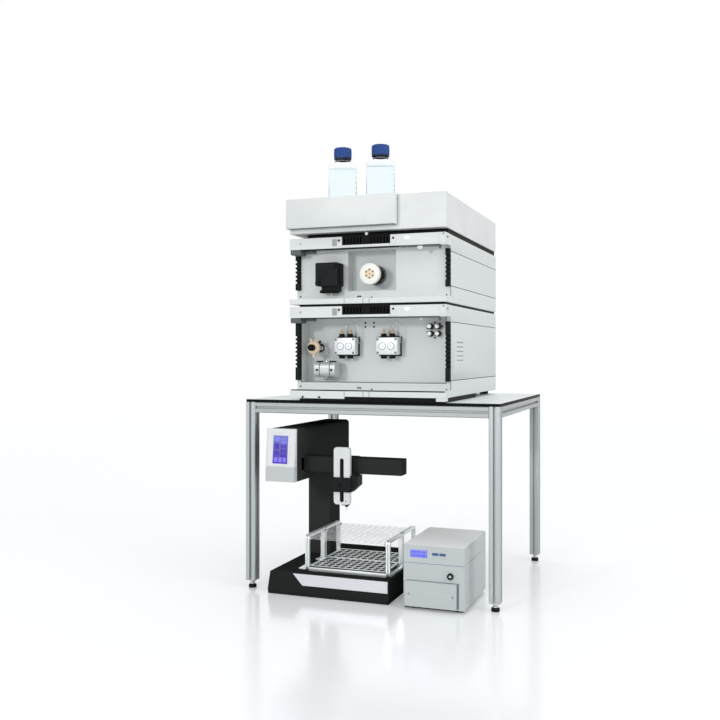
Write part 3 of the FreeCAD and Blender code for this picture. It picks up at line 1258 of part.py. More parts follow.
make_bench()
make_levelling_feet()
make_pump_module()
make_pump_heads()
make_purge_valve()
make_mixer()
make_inlet_fittings()
make_valve_module()
make_injection_valve()
make_flow_cell()
make_module_fronts()
make_tray()
make_bottles()
make_collector_body()
make_console()
make_arm()
make_carriage()
make_head()
make_racks()
make_detector()
make_rubber_feet()
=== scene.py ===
import bpy
import bmesh
import json
import math
from mathutils import Matrix, Vector


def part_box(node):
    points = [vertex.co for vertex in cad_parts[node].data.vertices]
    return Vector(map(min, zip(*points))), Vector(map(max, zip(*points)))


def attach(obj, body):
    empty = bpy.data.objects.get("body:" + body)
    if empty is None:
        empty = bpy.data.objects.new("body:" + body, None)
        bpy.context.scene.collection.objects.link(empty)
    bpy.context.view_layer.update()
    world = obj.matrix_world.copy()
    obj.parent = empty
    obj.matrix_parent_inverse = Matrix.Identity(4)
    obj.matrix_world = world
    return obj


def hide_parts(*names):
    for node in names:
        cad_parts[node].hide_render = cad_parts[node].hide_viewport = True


# Fast protein liquid chromatography system: the finishes and fine details of the bench stand,
# the tower of modules, the fraction collector and the detector. +Z up, +Y to the back. Pieces are
# drawn in millimetres and turned into metres when they are fitted; lamps and camera are in metres.

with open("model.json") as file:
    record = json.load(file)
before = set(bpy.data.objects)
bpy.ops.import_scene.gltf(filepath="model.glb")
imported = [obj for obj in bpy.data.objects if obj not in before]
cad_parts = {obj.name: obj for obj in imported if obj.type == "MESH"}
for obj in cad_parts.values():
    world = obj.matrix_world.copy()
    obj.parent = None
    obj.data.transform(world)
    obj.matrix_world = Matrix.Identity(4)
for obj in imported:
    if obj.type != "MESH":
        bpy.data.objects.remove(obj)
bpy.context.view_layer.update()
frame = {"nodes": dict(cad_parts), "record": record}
RECORD = frame["record"]
CARRIER = {node: body for body, nodes in RECORD["behaviour"]["bodies"].items() for node in nodes}

MM = 0.001
FINE_EDGE = 0.3
SOFT_EDGE = 0.6
WELD = 0.01
LIP_DROP = 24.7  # from the top of a module to the lower edge of its top bar
RACK_BAR = 9.3  # width of the bent bar of the racks


def at(x, y, z):
    return Vector((x, y, z))


def around(degrees):
    """The direction at an angle in an upright plane across the set, from +X towards +Z."""
    angle = math.radians(degrees)
    return at(math.cos(angle), 0, math.sin(angle))


UP = at(0, 0, 1)
DOWN = at(0, 0, -1)
RIGHT = at(1, 0, 0)
LEFT = at(-1, 0, 0)
FORWARD = at(0, -1, 0)
BACKWARD = at(0, 1, 0)


def low(node):
    return Vector(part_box(node)[0]) / MM


def high(node):
    return Vector(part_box(node)[1]) / MM


def middle(node):
    return (low(node) + high(node)) / 2


# Colours and finishes


def shade(red, green, blue):
    """A colour written as it shows, from 0 to 255, turned into the shader's own scale."""
    channels = []
    for value in (red, green, blue):
        part = value / 255
        channels.append(part / 12.92 if part <= 0.04045 else ((part + 0.055) / 1.055) ** 2.4)
    return (*channels, 1)


class Network:
    """A tree of nodes that are added and linked one by one."""

    def __init__(self, tree):
        self.tree = tree

    def add(self, kind, **settings):
        node = self.tree.nodes.new(kind)
        for key, value in settings.items():
            setattr(node, key, value)
        return node

    def link(self, source, target):
        self.tree.links.new(source, target)


class Finish(Network):
    """One material, with steps that add grain, brushing or wear from the piece's own place."""

    def __init__(self, name, colour, roughness, metallic=0.0):
        self.material = bpy.data.materials.new(name)
        self.material.use_nodes = True
        self.material.diffuse_color = colour
        super().__init__(self.material.node_tree)
        self.shader = self.tree.nodes["Principled BSDF"]
        self.colour = colour
        self.set("Base Color", colour)
        self.set("Roughness", roughness)
        self.set("Metallic", metallic)

    def set(self, socket, value):
        self.shader.inputs[socket].default_value = value

    def place(self, stretch=(1, 1, 1)):
        coordinates = self.add("ShaderNodeTexCoord")
        mapping = self.add("ShaderNodeMapping")
        mapping.inputs["Scale"].default_value = stretch
        self.link(coordinates.outputs["Object"], mapping.inputs["Vector"])
        return mapping.outputs["Vector"]

    def rise(self, low_z, high_z):
        """Nought below one height in millimetres and one above another."""
        height = self.add("ShaderNodeSeparateXYZ")
        self.link(self.place(), height.inputs["Vector"])
        return self.spread(height.outputs["Z"], low_z * MM, high_z * MM, ("From Min", "From Max"))

    def noise(self, scale, detail=2.0, stretch=(1, 1, 1)):
        noise = self.add("ShaderNodeTexNoise")
        noise.inputs["Scale"].default_value = scale
        noise.inputs["Detail"].default_value = detail
        self.link(self.place(stretch), noise.inputs["Vector"])
        return noise.outputs["Fac"]

    def ramp(self, source, stops):
        ramp = self.add("ShaderNodeValToRGB")
        ends = ramp.color_ramp.elements
        while len(ends) < len(stops):
            ends.new(0.5)
        for element, (position, colour) in zip(ends, stops):
            element.position = position
            element.color = colour
        self.link(source, ramp.inputs["Fac"])
        return ramp.outputs["Color"]

    def tint(self, source, spread):
        """Vary the colour a little either side of what it is."""
        darker = tuple(c * (1 - spread) for c in self.colour[:3]) + (1,)
        lighter = tuple(min(1, c * (1 + spread)) for c in self.colour[:3]) + (1,)
        self.link(self.ramp(source, [(0.3, darker), (0.7, lighter)]), self.shader.inputs["Base Color"])

    def spread(self, source, lowest, highest, ends=("To Min", "To Max")):
        """A value stretched to, or from, a range of its own."""
        range_node = self.add("ShaderNodeMapRange")
        range_node.inputs[ends[0]].default_value = lowest
        range_node.inputs[ends[1]].default_value = highest
        self.link(source, range_node.inputs["Value"])
        return range_node.outputs["Result"]

    def polish(self, source, smoothest, roughest):
        self.link(self.spread(source, smoothest, roughest), self.shader.inputs["Roughness"])
        return self

    def bump(self, source, distance, strength=1.0):
        bump = self.add("ShaderNodeBump")
        bump.inputs["Distance"].default_value = distance
        bump.inputs["Strength"].default_value = strength
        self.link(source, bump.inputs["Height"])
        self.link(bump.outputs["Normal"], self.shader.inputs["Normal"])
        return self


def powder_coat(name, colour, roughness=0.42, gloss=0.5):
    """Baked coat with a faint orange-peel skin and a slow drift in shade."""
    finish = Finish(name, colour, roughness)
    finish.set("Specular IOR Level", gloss)
    finish.tint(finish.noise(6, 3), 0.012)
    finish.polish(finish.noise(350, 2), roughness - 0.06, roughness + 0.08)
    return finish.bump(finish.noise(900, 3), 0.04 * MM, 0.5).material


def moulded(name, colour, roughness=0.5, grain=1400, gloss=0.5):
    """Moulded plastic with a fine spark-eroded grain."""
    finish = Finish(name, colour, roughness)
    finish.set("Specular IOR Level", gloss)
    finish.tint(finish.noise(20, 2), 0.03)
    finish.polish(finish.noise(grain / 2, 2), roughness - 0.08, roughness + 0.1)
    return finish.bump(finish.noise(grain, 4), 0.05 * MM, 0.6).material


def drawn_metal(name, colour, stretch, roughness=0.34, metallic=0.85):
    """Metal with streaks along one direction, as drawing or grinding leaves them."""
    finish = Finish(name, colour, roughness, metallic)
    streaks = finish.noise(1, 4, stretch)
    finish.tint(streaks, 0.04)
    finish.polish(streaks, roughness - 0.07, roughness + 0.1)
    return finish.bump(streaks, 0.02 * MM, 0.4).material


def facing_up(finish):
    """One on the upper faces of a piece and nought on its edges and underside."""
    geometry = finish.add("ShaderNodeNewGeometry")
    split = finish.add("ShaderNodeSeparateXYZ")
    finish.link(geometry.outputs["Normal"], split.inputs["Vector"])
    above = finish.add("ShaderNodeMath", operation="GREATER_THAN")
    above.inputs[1].default_value = 0.5
    finish.link(split.outputs["Z"], above.inputs[0])
    return above.outputs["Value"]


def over_and_beside(finish, above, beside):
    """One colour or pattern on the upper faces and another colour on all the others."""
    mix = finish.add("ShaderNodeMix", data_type="RGBA")
    mix.inputs["A"].default_value = beside
    if isinstance(above, tuple):
        mix.inputs["B"].default_value = above
    else:
        finish.link(above, mix.inputs["B"])
    finish.link(facing_up(finish), mix.inputs["Factor"])
    finish.link(mix.outputs["Result"], finish.shader.inputs["Base Color"])


def bench_board(name):
    """Pale laminate with a fine speckle on top and a black core at the edges."""
    finish = Finish(name, shade(222, 227, 227), 0.35)
    speckle = [(0.35, shade(214, 220, 220)), (0.6, shade(224, 229, 229))]
    over_and_beside(finish, finish.ramp(finish.noise(1500, 2), speckle), shade(24, 26, 27))
    shine = finish.spread(facing_up(finish), 0.01, 0.4)
    finish.link(shine, finish.shader.inputs["Specular IOR Level"])
    return finish.polish(finish.noise(700, 2), 0.3, 0.42).material


def see_through(name, colour, roughness, ior):
    """Glass, liquid or clear polymer."""
    finish = Finish(name, colour, roughness)
    finish.set("Transmission Weight", 1.0)
    finish.set("IOR", ior)
    return finish.polish(finish.noise(60, 2), roughness, roughness + 0.02).material


def thin_sheet(name, colour, cover):
    """Clear sheet that lets most light straight through and whitens what lies behind it."""
    finish = Finish(name, colour, 0.3)
    finish.tint(finish.noise(300, 2), 0.01)
    whitening = finish.spread(facing_up(finish), cover / 6, cover)
    finish.link(whitening, finish.shader.inputs["Alpha"])
    return finish.material


def painted_top_light(name, above, beside, roughness=0.35):
    """A piece whose upper faces are painted paler than its edges and the walls of its holes, as painted
    light on top and painted shade beside.
    """
    finish = Finish(name, above, roughness)
    over_and_beside(finish, above, beside)
    return finish.polish(finish.noise(300, 2), roughness - 0.05, roughness + 0.08).material


def lit_face(name, stops, low_z, high_z, strength):
    """A lit display behind a gloss film, shaded from its lower edge to its upper."""
    finish = Finish(name, shade(10, 10, 20), 0.12)
    finish.link(finish.ramp(finish.rise(low_z, high_z), stops), finish.shader.inputs["Emission Color"])
    finish.set("Emission Strength", strength)
    return finish.material


def painted_shade_below_kink(name, upper, lower, height):
    """A moulding painted a little darker below a kink in its face: painted shade where the lower face
    turns from the light.
    """
    finish = Finish(name, upper, 0.4)
    finish.set("Specular IOR Level", 0.3)
    change = finish.ramp(finish.rise(height - 2, height + 1), [(0, lower), (1, upper)])
    finish.link(change, finish.shader.inputs["Base Color"])
    return finish.material


def glowing(name, colour, strength):
    finish = Finish(name, colour, 0.2)
    finish.tint(finish.noise(900, 1), 0.02)
    finish.set("Emission Color", colour)
    finish.set("Emission Strength", strength)
    return finish.material


ALONG_X = (6, 1600, 1600)
ALONG_Y = (1600, 6, 1600)
ALONG_Z = (1600, 1600, 6)

HOUSING = powder_coat("light grey powder coat", shade(214, 218, 218), 0.45, 0.35)
PANEL = powder_coat("cool grey sheet", shade(217, 221, 221), 0.45, 0.3)
BRACKET = powder_coat("mid grey bracket", shade(136, 141, 142), 0.5, 0.3)
# Bracket grey darkened as painted shade, for the brackets under the top bars.
BRACKET_IN_PAINTED_SHADE = powder_coat("dark grey bracket", shade(98, 103, 105), 0.55, 0.1)
BENCH_TOP = bench_board("bench laminate")
PROFILE_Z = drawn_metal("anodised profile upright", shade(180, 185, 186), ALONG_Z, 0.4, 0.6)
# The rails are painted darker than the uprights of the same anodised profile, as painted shade; the
# direction of the brushing is real.
PROFILE_X = drawn_metal("anodised profile crosswise", shade(164, 169, 170), ALONG_X, 0.4, 0.6)
PROFILE_Y = drawn_metal("anodised profile front to back", shade(166, 171, 172), ALONG_Y, 0.4, 0.6)
BLACK = moulded("black moulding", shade(27, 29, 30), 0.5, gloss=0.08)
DEEP_BLACK = moulded("black insert", shade(15, 16, 17), 0.6, gloss=0.1)
# Copies of one satin black coat: the base painted darker as painted shade on its upward slope, the beam
# and column painted lighter as painted light on sides that the lamps barely reach.
BASE_BLACK = powder_coat("satin black base", shade(40, 42, 42), 0.6, 0.0)
BEAM_BLACK = powder_coat("satin black beam", shade(58, 60, 59), 0.6, 0.0)
SATIN_BLACK = powder_coat("satin black coat", shade(47, 49, 48), 0.6, 0.0)
RUBBER = moulded("black rubber", shade(26, 26, 26), 0.75, 2200, 0.1)
STEEL = drawn_metal("ground steel", shade(222, 226, 228), ALONG_X, 0.3, 0.35)
GREY_STEEL = drawn_metal("grey steel", shade(190, 194, 195), ALONG_X, 0.3, 0.35)
DULL_STEEL = drawn_metal("dull steel", shade(118, 122, 124), ALONG_Z, 0.4, 0.4)
BRIGHT_STEEL = drawn_metal("bright steel", shade(205, 208, 209), ALONG_Z, 0.18, 1.0)
POLYMER = moulded("beige polymer", shade(228, 206, 176), 0.4)
TAN = moulded("tan fitting", shade(206, 178, 140), 0.4)
BROWN = moulded("brown fitting body", shade(66, 58, 48), 0.5, gloss=0.2)
VALVE_WHITE = moulded("white valve polymer", shade(238, 236, 230), 0.32)
CAP_BLUE = moulded("blue cap", shade(24, 66, 136), 0.4, gloss=0.3)
CAP_SHADE = moulded("dark cap ring", shade(40, 44, 54), 0.5, gloss=0.2)
TRAY = moulded("light grey tray", shade(220, 223, 222), 0.5, 1000, 0.3)
CONSOLE = moulded("white console", shade(216, 219, 220), 0.4, gloss=0.3)
# The console case, painted darker below its kink as painted shade.
CONSOLE_WITH_PAINTED_SHADE = painted_shade_below_kink("white console case", shade(216, 219, 220), shade(192, 196, 197), 286)
TRIM = drawn_metal("bare silver trim", shade(214, 215, 220), ALONG_X, 0.35, 0.35)
RACK = drawn_metal("satin silver rack", shade(222, 227, 227), ALONG_Z, 0.3, 0.6)
DETECTOR = powder_coat("grey detector coat", shade(191, 197, 198), 0.45, 0.35)
# The lid's top is painted paler than its sides: painted light from above.
LID_WITH_PAINTED_TOP_LIGHT = painted_top_light("grey detector lid", shade(236, 239, 239), shade(191, 197, 198), 0.45)
KEY_BLUE = moulded("blue key", shade(28, 92, 140), 0.35)
GLASS = see_through("bottle glass", (0.985, 0.995, 1.0, 1), 0.0, 1.1)
LIQUID = see_through("eluent", (0.9, 0.98, 1.0, 1), 0.0, 1.04)
CLEAR = thin_sheet("clear rack plate", shade(246, 249, 249), 0.36)
# The plate's top is silver and its edges and hole walls near black: painted shade in and beside the
# holes.
PLATE_WITH_PAINTED_HOLE_SHADE = painted_top_light("silver rack plate", shade(226, 230, 230), shade(30, 32, 33))
TICKS = moulded("blue grey print", shade(150, 178, 196), 0.5)
# Grey for the painted shadow round the detector door.
DOOR_SHADE = moulded("grey door seal", shade(126, 131, 133), 0.6, gloss=0.2)
PLUG = moulded("grey plug", shade(150, 155, 156), 0.5)
SEAM_SHADE = moulded("dark seam", shade(44, 47, 49), 0.6, gloss=0.1)
BLUE_LINE = moulded("blue seam strip", shade(98, 134, 172), 0.5)
LAMP = glowing("status lamp", (1, 1, 1, 1), 1.2)


# Building blocks


def shown(name, data):
    """An object in the scene for a mesh, a curve, a lamp or a camera."""
    holder = bpy.data.objects.new(name, data)
    bpy.context.scene.collection.objects.link(holder)
    return holder


def shade_softly(mesh, below):
    """Soft shading, broken at the edges that turn by more than an angle in degrees."""
    mesh.shade_smooth()
    mesh.set_sharp_from_angle(angle=math.radians(below))


def placed(mesh_maker, name, smooth_below=38):
    """Turn a mesh in the making into an object."""
    bmesh.ops.recalc_face_normals(mesh_maker, faces=mesh_maker.faces)
    mesh = bpy.data.meshes.new(name)
    mesh_maker.to_mesh(mesh)
    mesh_maker.free()
    shade_softly(mesh, smooth_below)
    return shown(name, mesh)


def fitted(piece, finish, node, stands_for=False):
    """Turn a piece into metres, give it its finish and let it move with the body of the node it belongs
    to; a piece that stands for the node hides it.
    """
    piece.data.transform(Matrix.Scale(MM, 4))
    piece.data.materials.clear()
    piece.data.materials.append(finish)
    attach(piece, CARRIER[node])
    if stands_for:
        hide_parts(node)
    return piece


def fit(mesh_maker, name, finish, node, stands_for=False, smooth_below=38):
    """Make a piece of a mesh in the making and fit it."""
    return fitted(placed(mesh_maker, name, smooth_below), finish, node, stands_for)


def single(shape, name, finish, node, *sizes, stands_for=False, smooth_below=38, **ways):
    """A piece that is one shape alone, such as one turning or one block."""
    maker = bmesh.new()
    shape(maker, *sizes, **ways)
    return fit(maker, name, finish, node, stands_for, smooth_below)


def soften(piece, width):
    """Break the sharp edges of a piece, so that they catch the light."""
    edge = piece.modifiers.new("broken edges", "BEVEL")
    edge.width = width * MM
    edge.segments = 2
    edge.limit_method = "ANGLE"
    edge.angle_limit = math.radians(40)
    edge.harden_normals = True
    return piece


def node_mesh(node):
    """A merged copy of a node's own shape, in metres like the node."""
    copy = bmesh.new()
    copy.from_mesh(frame["nodes"][node].data)
    bmesh.ops.remove_doubles(copy, verts=copy.verts, dist=0.001 * MM)
    return copy


def islands(node):
    """The box of each separate solid in a node, as (low, high) pairs in the order of place."""
    copy = node_mesh(node)
    boxes = []
    left = set(copy.verts)
    while left:
        start = left.pop()
        group, edge = {start}, [start]
        while edge:
            for link in edge.pop().link_edges:
                for vert in link.verts:
                    if vert in left:
                        left.discard(vert)
                        group.add(vert)
                        edge.append(vert)
        lowest = Vector(min(vert.co[i] for vert in group) for i in range(3))
        highest = Vector(max(vert.co[i] for vert in group) for i in range(3))
        boxes.append((lowest / MM, highest / MM))
    copy.free()
    return sorted(boxes, key=lambda pair: tuple(round(c, 2) for c in pair[0]))


def dressed(node, finish, edge=FINE_EDGE, name=None, keep=None):
    """A merged copy of a node's own shape with broken edges, which is shown in its place."""
    copy = node_mesh(node)
    if keep:
        others = [face for face in copy.faces if not keep(face.calc_center_median() / MM)]
        bmesh.ops.delete(copy, geom=others, context="FACES")
    bmesh.ops.dissolve_limit(copy, angle_limit=math.radians(0.6), verts=copy.verts, edges=copy.edges)
    copy.transform(Matrix.Scale(1 / MM, 4))
    piece = placed(copy, name or node + "_finished")
    if edge:
        soften(piece, edge)
    return fitted(piece, finish, node, True)


def soft_box(maker, corner, opposite, radius=0.0, steps=2):
    """A block between two corners, with all its edges rounded."""
    made = bmesh.ops.create_cube(maker, size=1)["verts"]
    size = opposite - corner
    for vert in made:
        vert.co = corner + Vector((vert.co[i] + 0.5) * size[i] for i in range(3))
    if radius:
        edges = list({edge for vert in made for edge in vert.link_edges})
        bmesh.ops.bevel(maker, geom=edges, offset=radius, segments=steps, profile=0.5, affect="EDGES")


def lathe(maker, outline, centre, axis=UP, steps=48, closed=False, ribs=0, groove=0.0):
    """Turn an outline of (radius, height) about an axis. A third entry marks a ribbed ring."""
    turn = UP.rotation_difference(axis).to_matrix()
    rings = []
    for radius, height, *ribbed in outline:
        count = steps if radius else 1
        ring = []
        for i in range(count):
            angle = 2 * math.pi * i / count
            cut = groove * (0.5 - 0.5 * math.cos(ribs * angle)) if ribbed else 0
            point = at((radius - cut) * math.cos(angle), (radius - cut) * math.sin(angle), height)
            ring.append(maker.verts.new(centre + turn @ point))
        rings.append(ring)
    pairs = list(zip(rings, rings[1:]))
    if closed:
        pairs.append((rings[-1], rings[0]))
    for first, second in pairs:
        for i in range(steps):
            j = (i + 1) % steps
            corners = [
                first[i % len(first)], first[j % len(first)], second[j % len(second)],
                second[i % len(second)]]
            corners = list(dict.fromkeys(corners))
            if len(corners) > 2:
                maker.faces.new(corners)


def band(maker, first, second):
    """Faces that join two closed rings of corners."""
    for i in range(len(first)):
        j = (i + 1) % len(first)
        maker.faces.new((first[i], first[j], second[j], second[i]))


def rounded_path(points, radius, steps=8):
    """A route of straight runs whose corners are rounded with arcs."""
    route = [points[0]]
    for before, corner, after in zip(points, points[1:], points[2:]):
        back = (before - corner).normalized()
        ahead = (after - corner).normalized()
        reach = min(radius, (before - corner).length / 2, (after - corner).length / 2)
        start, end = corner + back * reach, corner + ahead * reach
        for i in range(steps + 1):
            t = i / steps
            route.append(start * (1 - t) ** 2 + corner * 2 * t * (1 - t) + end * t ** 2)
    route.append(points[-1])
    return route


def tube(maker, route, radius, steps=12):
    """A round tube along a route, closed at both ends."""
    direction = (route[1] - route[0]).normalized()
    side = direction.orthogonal().normalized()
    rings = []
    for i, point in enumerate(route):
        ahead = route[min(i + 1, len(route) - 1)] - route[max(i - 1, 0)]
        ahead.normalize()
        side = (side - ahead * side.dot(ahead)).normalized()
        other = ahead.cross(side)
        ring = []
        for k in range(steps):
            angle = 2 * math.pi * k / steps
            out = side * math.cos(angle) + other * math.sin(angle)
            ring.append(maker.verts.new(point + out * radius))
        rings.append(ring)
    for first, second in zip(rings, rings[1:]):
        band(maker, first, second)
    maker.faces.new(reversed(rings[0]))
    maker.faces.new(rings[-1])


def prism(maker, centre, radius, length, sides, axis):
    """A bar with flats, such as a nut, measured across its corners."""
    outline = [
        (0, 0), (radius * 0.93, 0), (radius, length * 0.1), (radius, length * 0.9),
        (radius * 0.93, length), (0, length)]
    lathe(maker, outline, centre, axis, steps=sides)


# Trees that make what repeats


class Grower(Network):
    """A tree of geometry nodes with named inputs, ending in realised and finished parts."""

    def __init__(self, name, inputs):
        super().__init__(bpy.data.node_groups.new(name, "GeometryNodeTree"))
        sockets = self.tree.interface
        sockets.new_socket("Geometry", in_out="INPUT", socket_type="NodeSocketGeometry")
        for label, kind in inputs:
            sockets.new_socket(label, in_out="INPUT", socket_type=kind)
        sockets.new_socket("Finish", in_out="INPUT", socket_type="NodeSocketMaterial")
        sockets.new_socket("Geometry", in_out="OUTPUT", socket_type="NodeSocketGeometry")
        self.start = self.add("NodeGroupInput")

    def fed(self, kind, feeds, **settings):
        """Add a node whose inputs come from other nodes, or by name from the tree's own inputs."""
        node = self.add(kind, **settings)
        for socket, source in feeds.items():
            if isinstance(source, str):
                source = self.start.outputs[source]
            self.link(source, node.inputs[socket])
        return node

    def attribute(self, name, kind):
        node = self.add("GeometryNodeInputNamedAttribute", data_type=kind)
        node.inputs["Name"].default_value = name
        return node.outputs["Attribute"]

    def finish(self, geometry):
        real = self.fed("GeometryNodeRealizeInstances", {"Geometry": geometry})
        paint = self.fed(
            "GeometryNodeSetMaterial", {"Geometry": real.outputs["Geometry"], "Material": "Finish"})
        self.fed("NodeGroupOutput", {"Geometry": paint.outputs["Geometry"]})
        return self.tree


def grown(name, tree, values, points=None):
    """Run a tree on a few points and keep the result as a plain mesh."""
    seed = bpy.data.meshes.new(name + "_seed")
    places = points or [(at(0, 0, 0), UP, 1.0)]
    seed.from_pydata([place for place, _, _ in places], [], [])
    seed.attributes.new("facing", "FLOAT_VECTOR", "POINT")
    seed.attributes.new("size", "FLOAT", "POINT")
    for i, (_, direction, scale) in enumerate(places):
        seed.attributes["facing"].data[i].vector = direction
        seed.attributes["size"].data[i].value = scale
    holder = shown(name, seed)
    growth = holder.modifiers.new("growth", "NODES")
    growth.node_group = tree
    for socket in tree.interface.items_tree:
        if socket.in_out == "INPUT" and socket.name in values:
            growth[socket.identifier] = values[socket.name]
    bpy.context.view_layer.update()
    graph = bpy.context.evaluated_depsgraph_get()
    mesh = bpy.data.meshes.new_from_object(holder.evaluated_get(graph))
    holder.modifiers.remove(growth)
    holder.data = mesh
    return holder


def scatter_tree():
    """Screws and other small fasteners set on faces, each turned to its face."""
    tree = Grower("fasteners on faces", [("Fastener", "NodeSocketObject")])
    info = tree.fed("GeometryNodeObjectInfo", {"Object": "Fastener"})
    turn = tree.fed(
        "FunctionNodeAlignRotationToVector", {"Vector": tree.attribute("facing", "FLOAT_VECTOR")},
        axis="Z")
    spread = tree.fed(
        "GeometryNodeInstanceOnPoints",
        {"Points": "Geometry", "Instance": info.outputs["Geometry"],
        "Rotation": turn.outputs["Rotation"], "Scale": tree.attribute("size", "FLOAT")})
    return tree.finish(spread.outputs["Instances"])


def slat_tree():
    """A row of equal slats, each a block, at a fixed pitch."""
    tree = Grower(
        "row of slats", [("Count", "NodeSocketInt"), ("Start", "NodeSocketVector"),
        ("Pitch", "NodeSocketVector"), ("Slat size", "NodeSocketVector")])
    line = tree.fed(
        "GeometryNodeMeshLine", {"Count": "Count", "Start Location": "Start", "Offset": "Pitch"})
    slat = tree.fed("GeometryNodeMeshCube", {"Size": "Slat size"})
    spread = tree.fed(
        "GeometryNodeInstanceOnPoints",
        {"Points": line.outputs["Mesh"], "Instance": slat.outputs["Mesh"]})
    return tree.finish(spread.outputs["Instances"])


def plate_tree():
    """A plate put together from equal cells, each with its own hole."""
    tree = Grower(
        "plate of cells", [("Cell", "NodeSocketObject"), ("Columns", "NodeSocketInt"),
        ("Rows", "NodeSocketInt"), ("Width", "NodeSocketFloat"), ("Depth", "NodeSocketFloat"),
        ("Centre", "NodeSocketVector")])
    grid = tree.fed(
        "GeometryNodeMeshGrid",
        {"Size X": "Width", "Size Y": "Depth", "Vertices X": "Columns", "Vertices Y": "Rows"})
    info = tree.fed("GeometryNodeObjectInfo", {"Object": "Cell"})
    spread = tree.fed(
        "GeometryNodeInstanceOnPoints",
        {"Points": grid.outputs["Mesh"], "Instance": info.outputs["Geometry"]})
    real = tree.fed("GeometryNodeRealizeInstances", {"Geometry": spread.outputs["Instances"]})
    weld = tree.fed("GeometryNodeMergeByDistance", {"Geometry": real.outputs["Geometry"]})
    weld.inputs["Distance"].default_value = WELD
    move = tree.fed(
        "GeometryNodeTransform", {"Geometry": weld.outputs["Geometry"], "Translation": "Centre"})
    return tree.finish(move.outputs["Geometry"])


def loop_tree():
    """A bar bent round a rounded rectangle, as the end frames of a rack are."""
    tree = Grower(
        "bent loop", [("Loop width", "NodeSocketFloat"), ("Loop height", "NodeSocketFloat"),
        ("Corner", "NodeSocketFloat"), ("Bar", "NodeSocketObject"), ("Centre", "NodeSocketVector"),
        ("Turn", "NodeSocketVector")])
    route = tree.fed(
        "GeometryNodeCurvePrimitiveQuadrilateral", {"Width": "Loop width", "Height": "Loop height"})
    bend = tree.fed(
        "GeometryNodeFilletCurve", {"Curve": route.outputs["Curve"], "Radius": "Corner"}, mode="POLY")
    bend.inputs["Count"].default_value = 8
    section = tree.fed("GeometryNodeObjectInfo", {"Object": "Bar"})
    sweep = tree.fed(
        "GeometryNodeCurveToMesh",
        {"Curve": bend.outputs["Curve"], "Profile Curve": section.outputs["Geometry"]})
    move = tree.fed(
        "GeometryNodeTransform",
        {"Geometry": sweep.outputs["Mesh"], "Translation": "Centre", "Rotation": "Turn"})
    return tree.finish(move.outputs["Geometry"])


SCATTER = scatter_tree()
SLATS = slat_tree()
PLATE = plate_tree()
LOOP = loop_tree()


def cap_screw():
    """A socket-head screw of unit radius, sunk a little into the face it is on."""
    maker = bmesh.new()
    lathe(
        maker, [(0, -0.2), (1, -0.2), (1, 0.5), (0.88, 0.62), (0.55, 0.62), (0.5, 0.56), (0.5, 0.15),
        (0, 0.15)], at(0, 0, 0), steps=18)
    return placed(maker, "cap_screw_pattern")


def flat_screw():
    """A low countersunk screw with a small round drive."""
    maker = bmesh.new()
    lathe(
        maker, [(0, -0.2), (1, -0.2), (1, 0.12), (0.9, 0.2), (0.4, 0.2), (0.35, -0.05), (0, -0.05)],
        at(0, 0, 0), steps=18)
    return placed(maker, "flat_screw_pattern")


CAP_SCREW = cap_screw()
FLAT_SCREW = flat_screw()


def fasteners(name, pattern, finish, node, places):
    """Fasteners on one body, from (place, facing, radius) in millimetres."""
    piece = grown(name, SCATTER, {"Fastener": pattern, "Finish": finish}, places)
    shade_softly(piece.data, 38)
    return fitted(piece, finish, node)


# Bench stand


def make_bench():
    dressed("bench_top", BENCH_TOP, 0)
    dressed("bench_legs", PROFILE_Z, 0)
    inside_legs = 24.5
    inside = high("bench_top").x - inside_legs
    dressed("bench_rails", PROFILE_X, 0, "cross_rails", lambda c: abs(c.x) < inside)
    dressed("bench_rails", PROFILE_Y, 0, "side_rails", lambda c: abs(c.x) >= inside)


def make_levelling_foot(corner):
    """A ribbed black pad on a threaded steel stud with its lock nut."""
    node = "levelling_foot_" + corner
    base = middle(node)
    base.z = low(node).z
    radius = (high(node).x - low(node).x) / 2
    single(
        lathe, "pad_" + corner, BLACK, node,
        [(0, 0), (radius - 0.7, 0), (radius, 0.8, True), (radius, 6.2, True), (radius - 1.2, 7.4),
        (5.2, 8.5), (0, 8.5)], base, stands_for=True, smooth_below=50, steps=96, ribs=24, groove=0.7)
    stud = bmesh.new()
    outline = [(0, 8.5)]
    thread = 10
    while thread < 34:
        outline += [(3.35, thread - 0.6), (3.95, thread)]
        thread += 1.2
    outline += [(0, 35)]
    lathe(stud, outline, base, steps=24)
    prism(stud, base + UP * 12.9, 6.5, 3.6, 6, UP)
    prism(stud, base + UP * 8.6, 5.6, 2.2, 24, UP)
    fit(stud, "stud_" + corner, BRIGHT_STEEL, node, True)


# Module cases


FRONT = low("top_bars").y
PUMP_TOP = high("pump_housing").z
VALVE_TOP = high("valve_housing").z
PUMP_BASE = low("pump_housing").z
VALVE_BASE = low("valve_housing").z
SIDE = high("pump_housing").x


def make_cases():
    for node, finish, edge in (
            ("pump_housing", HOUSING, FINE_EDGE), ("valve_housing", HOUSING, FINE_EDGE),
            ("pump_panel", PANEL, 0), ("valve_panel", PANEL, FINE_EDGE),
            ("top_bars", HOUSING, SOFT_EDGE), ("bottom_bars", HOUSING, SOFT_EDGE),
            ("vent_grilles", DEEP_BLACK, FINE_EDGE), ("eluent_tray", TRAY, SOFT_EDGE),
            ("tray_front_plate", TRAY, 0)):
        dressed(node, finish, edge)
    for node in ("module_feet", "floor_feet"):
        feet = bmesh.new()
        for island in islands(node):
            foot(feet, island)
        fit(feet, node + "_finished", RUBBER, node, True)


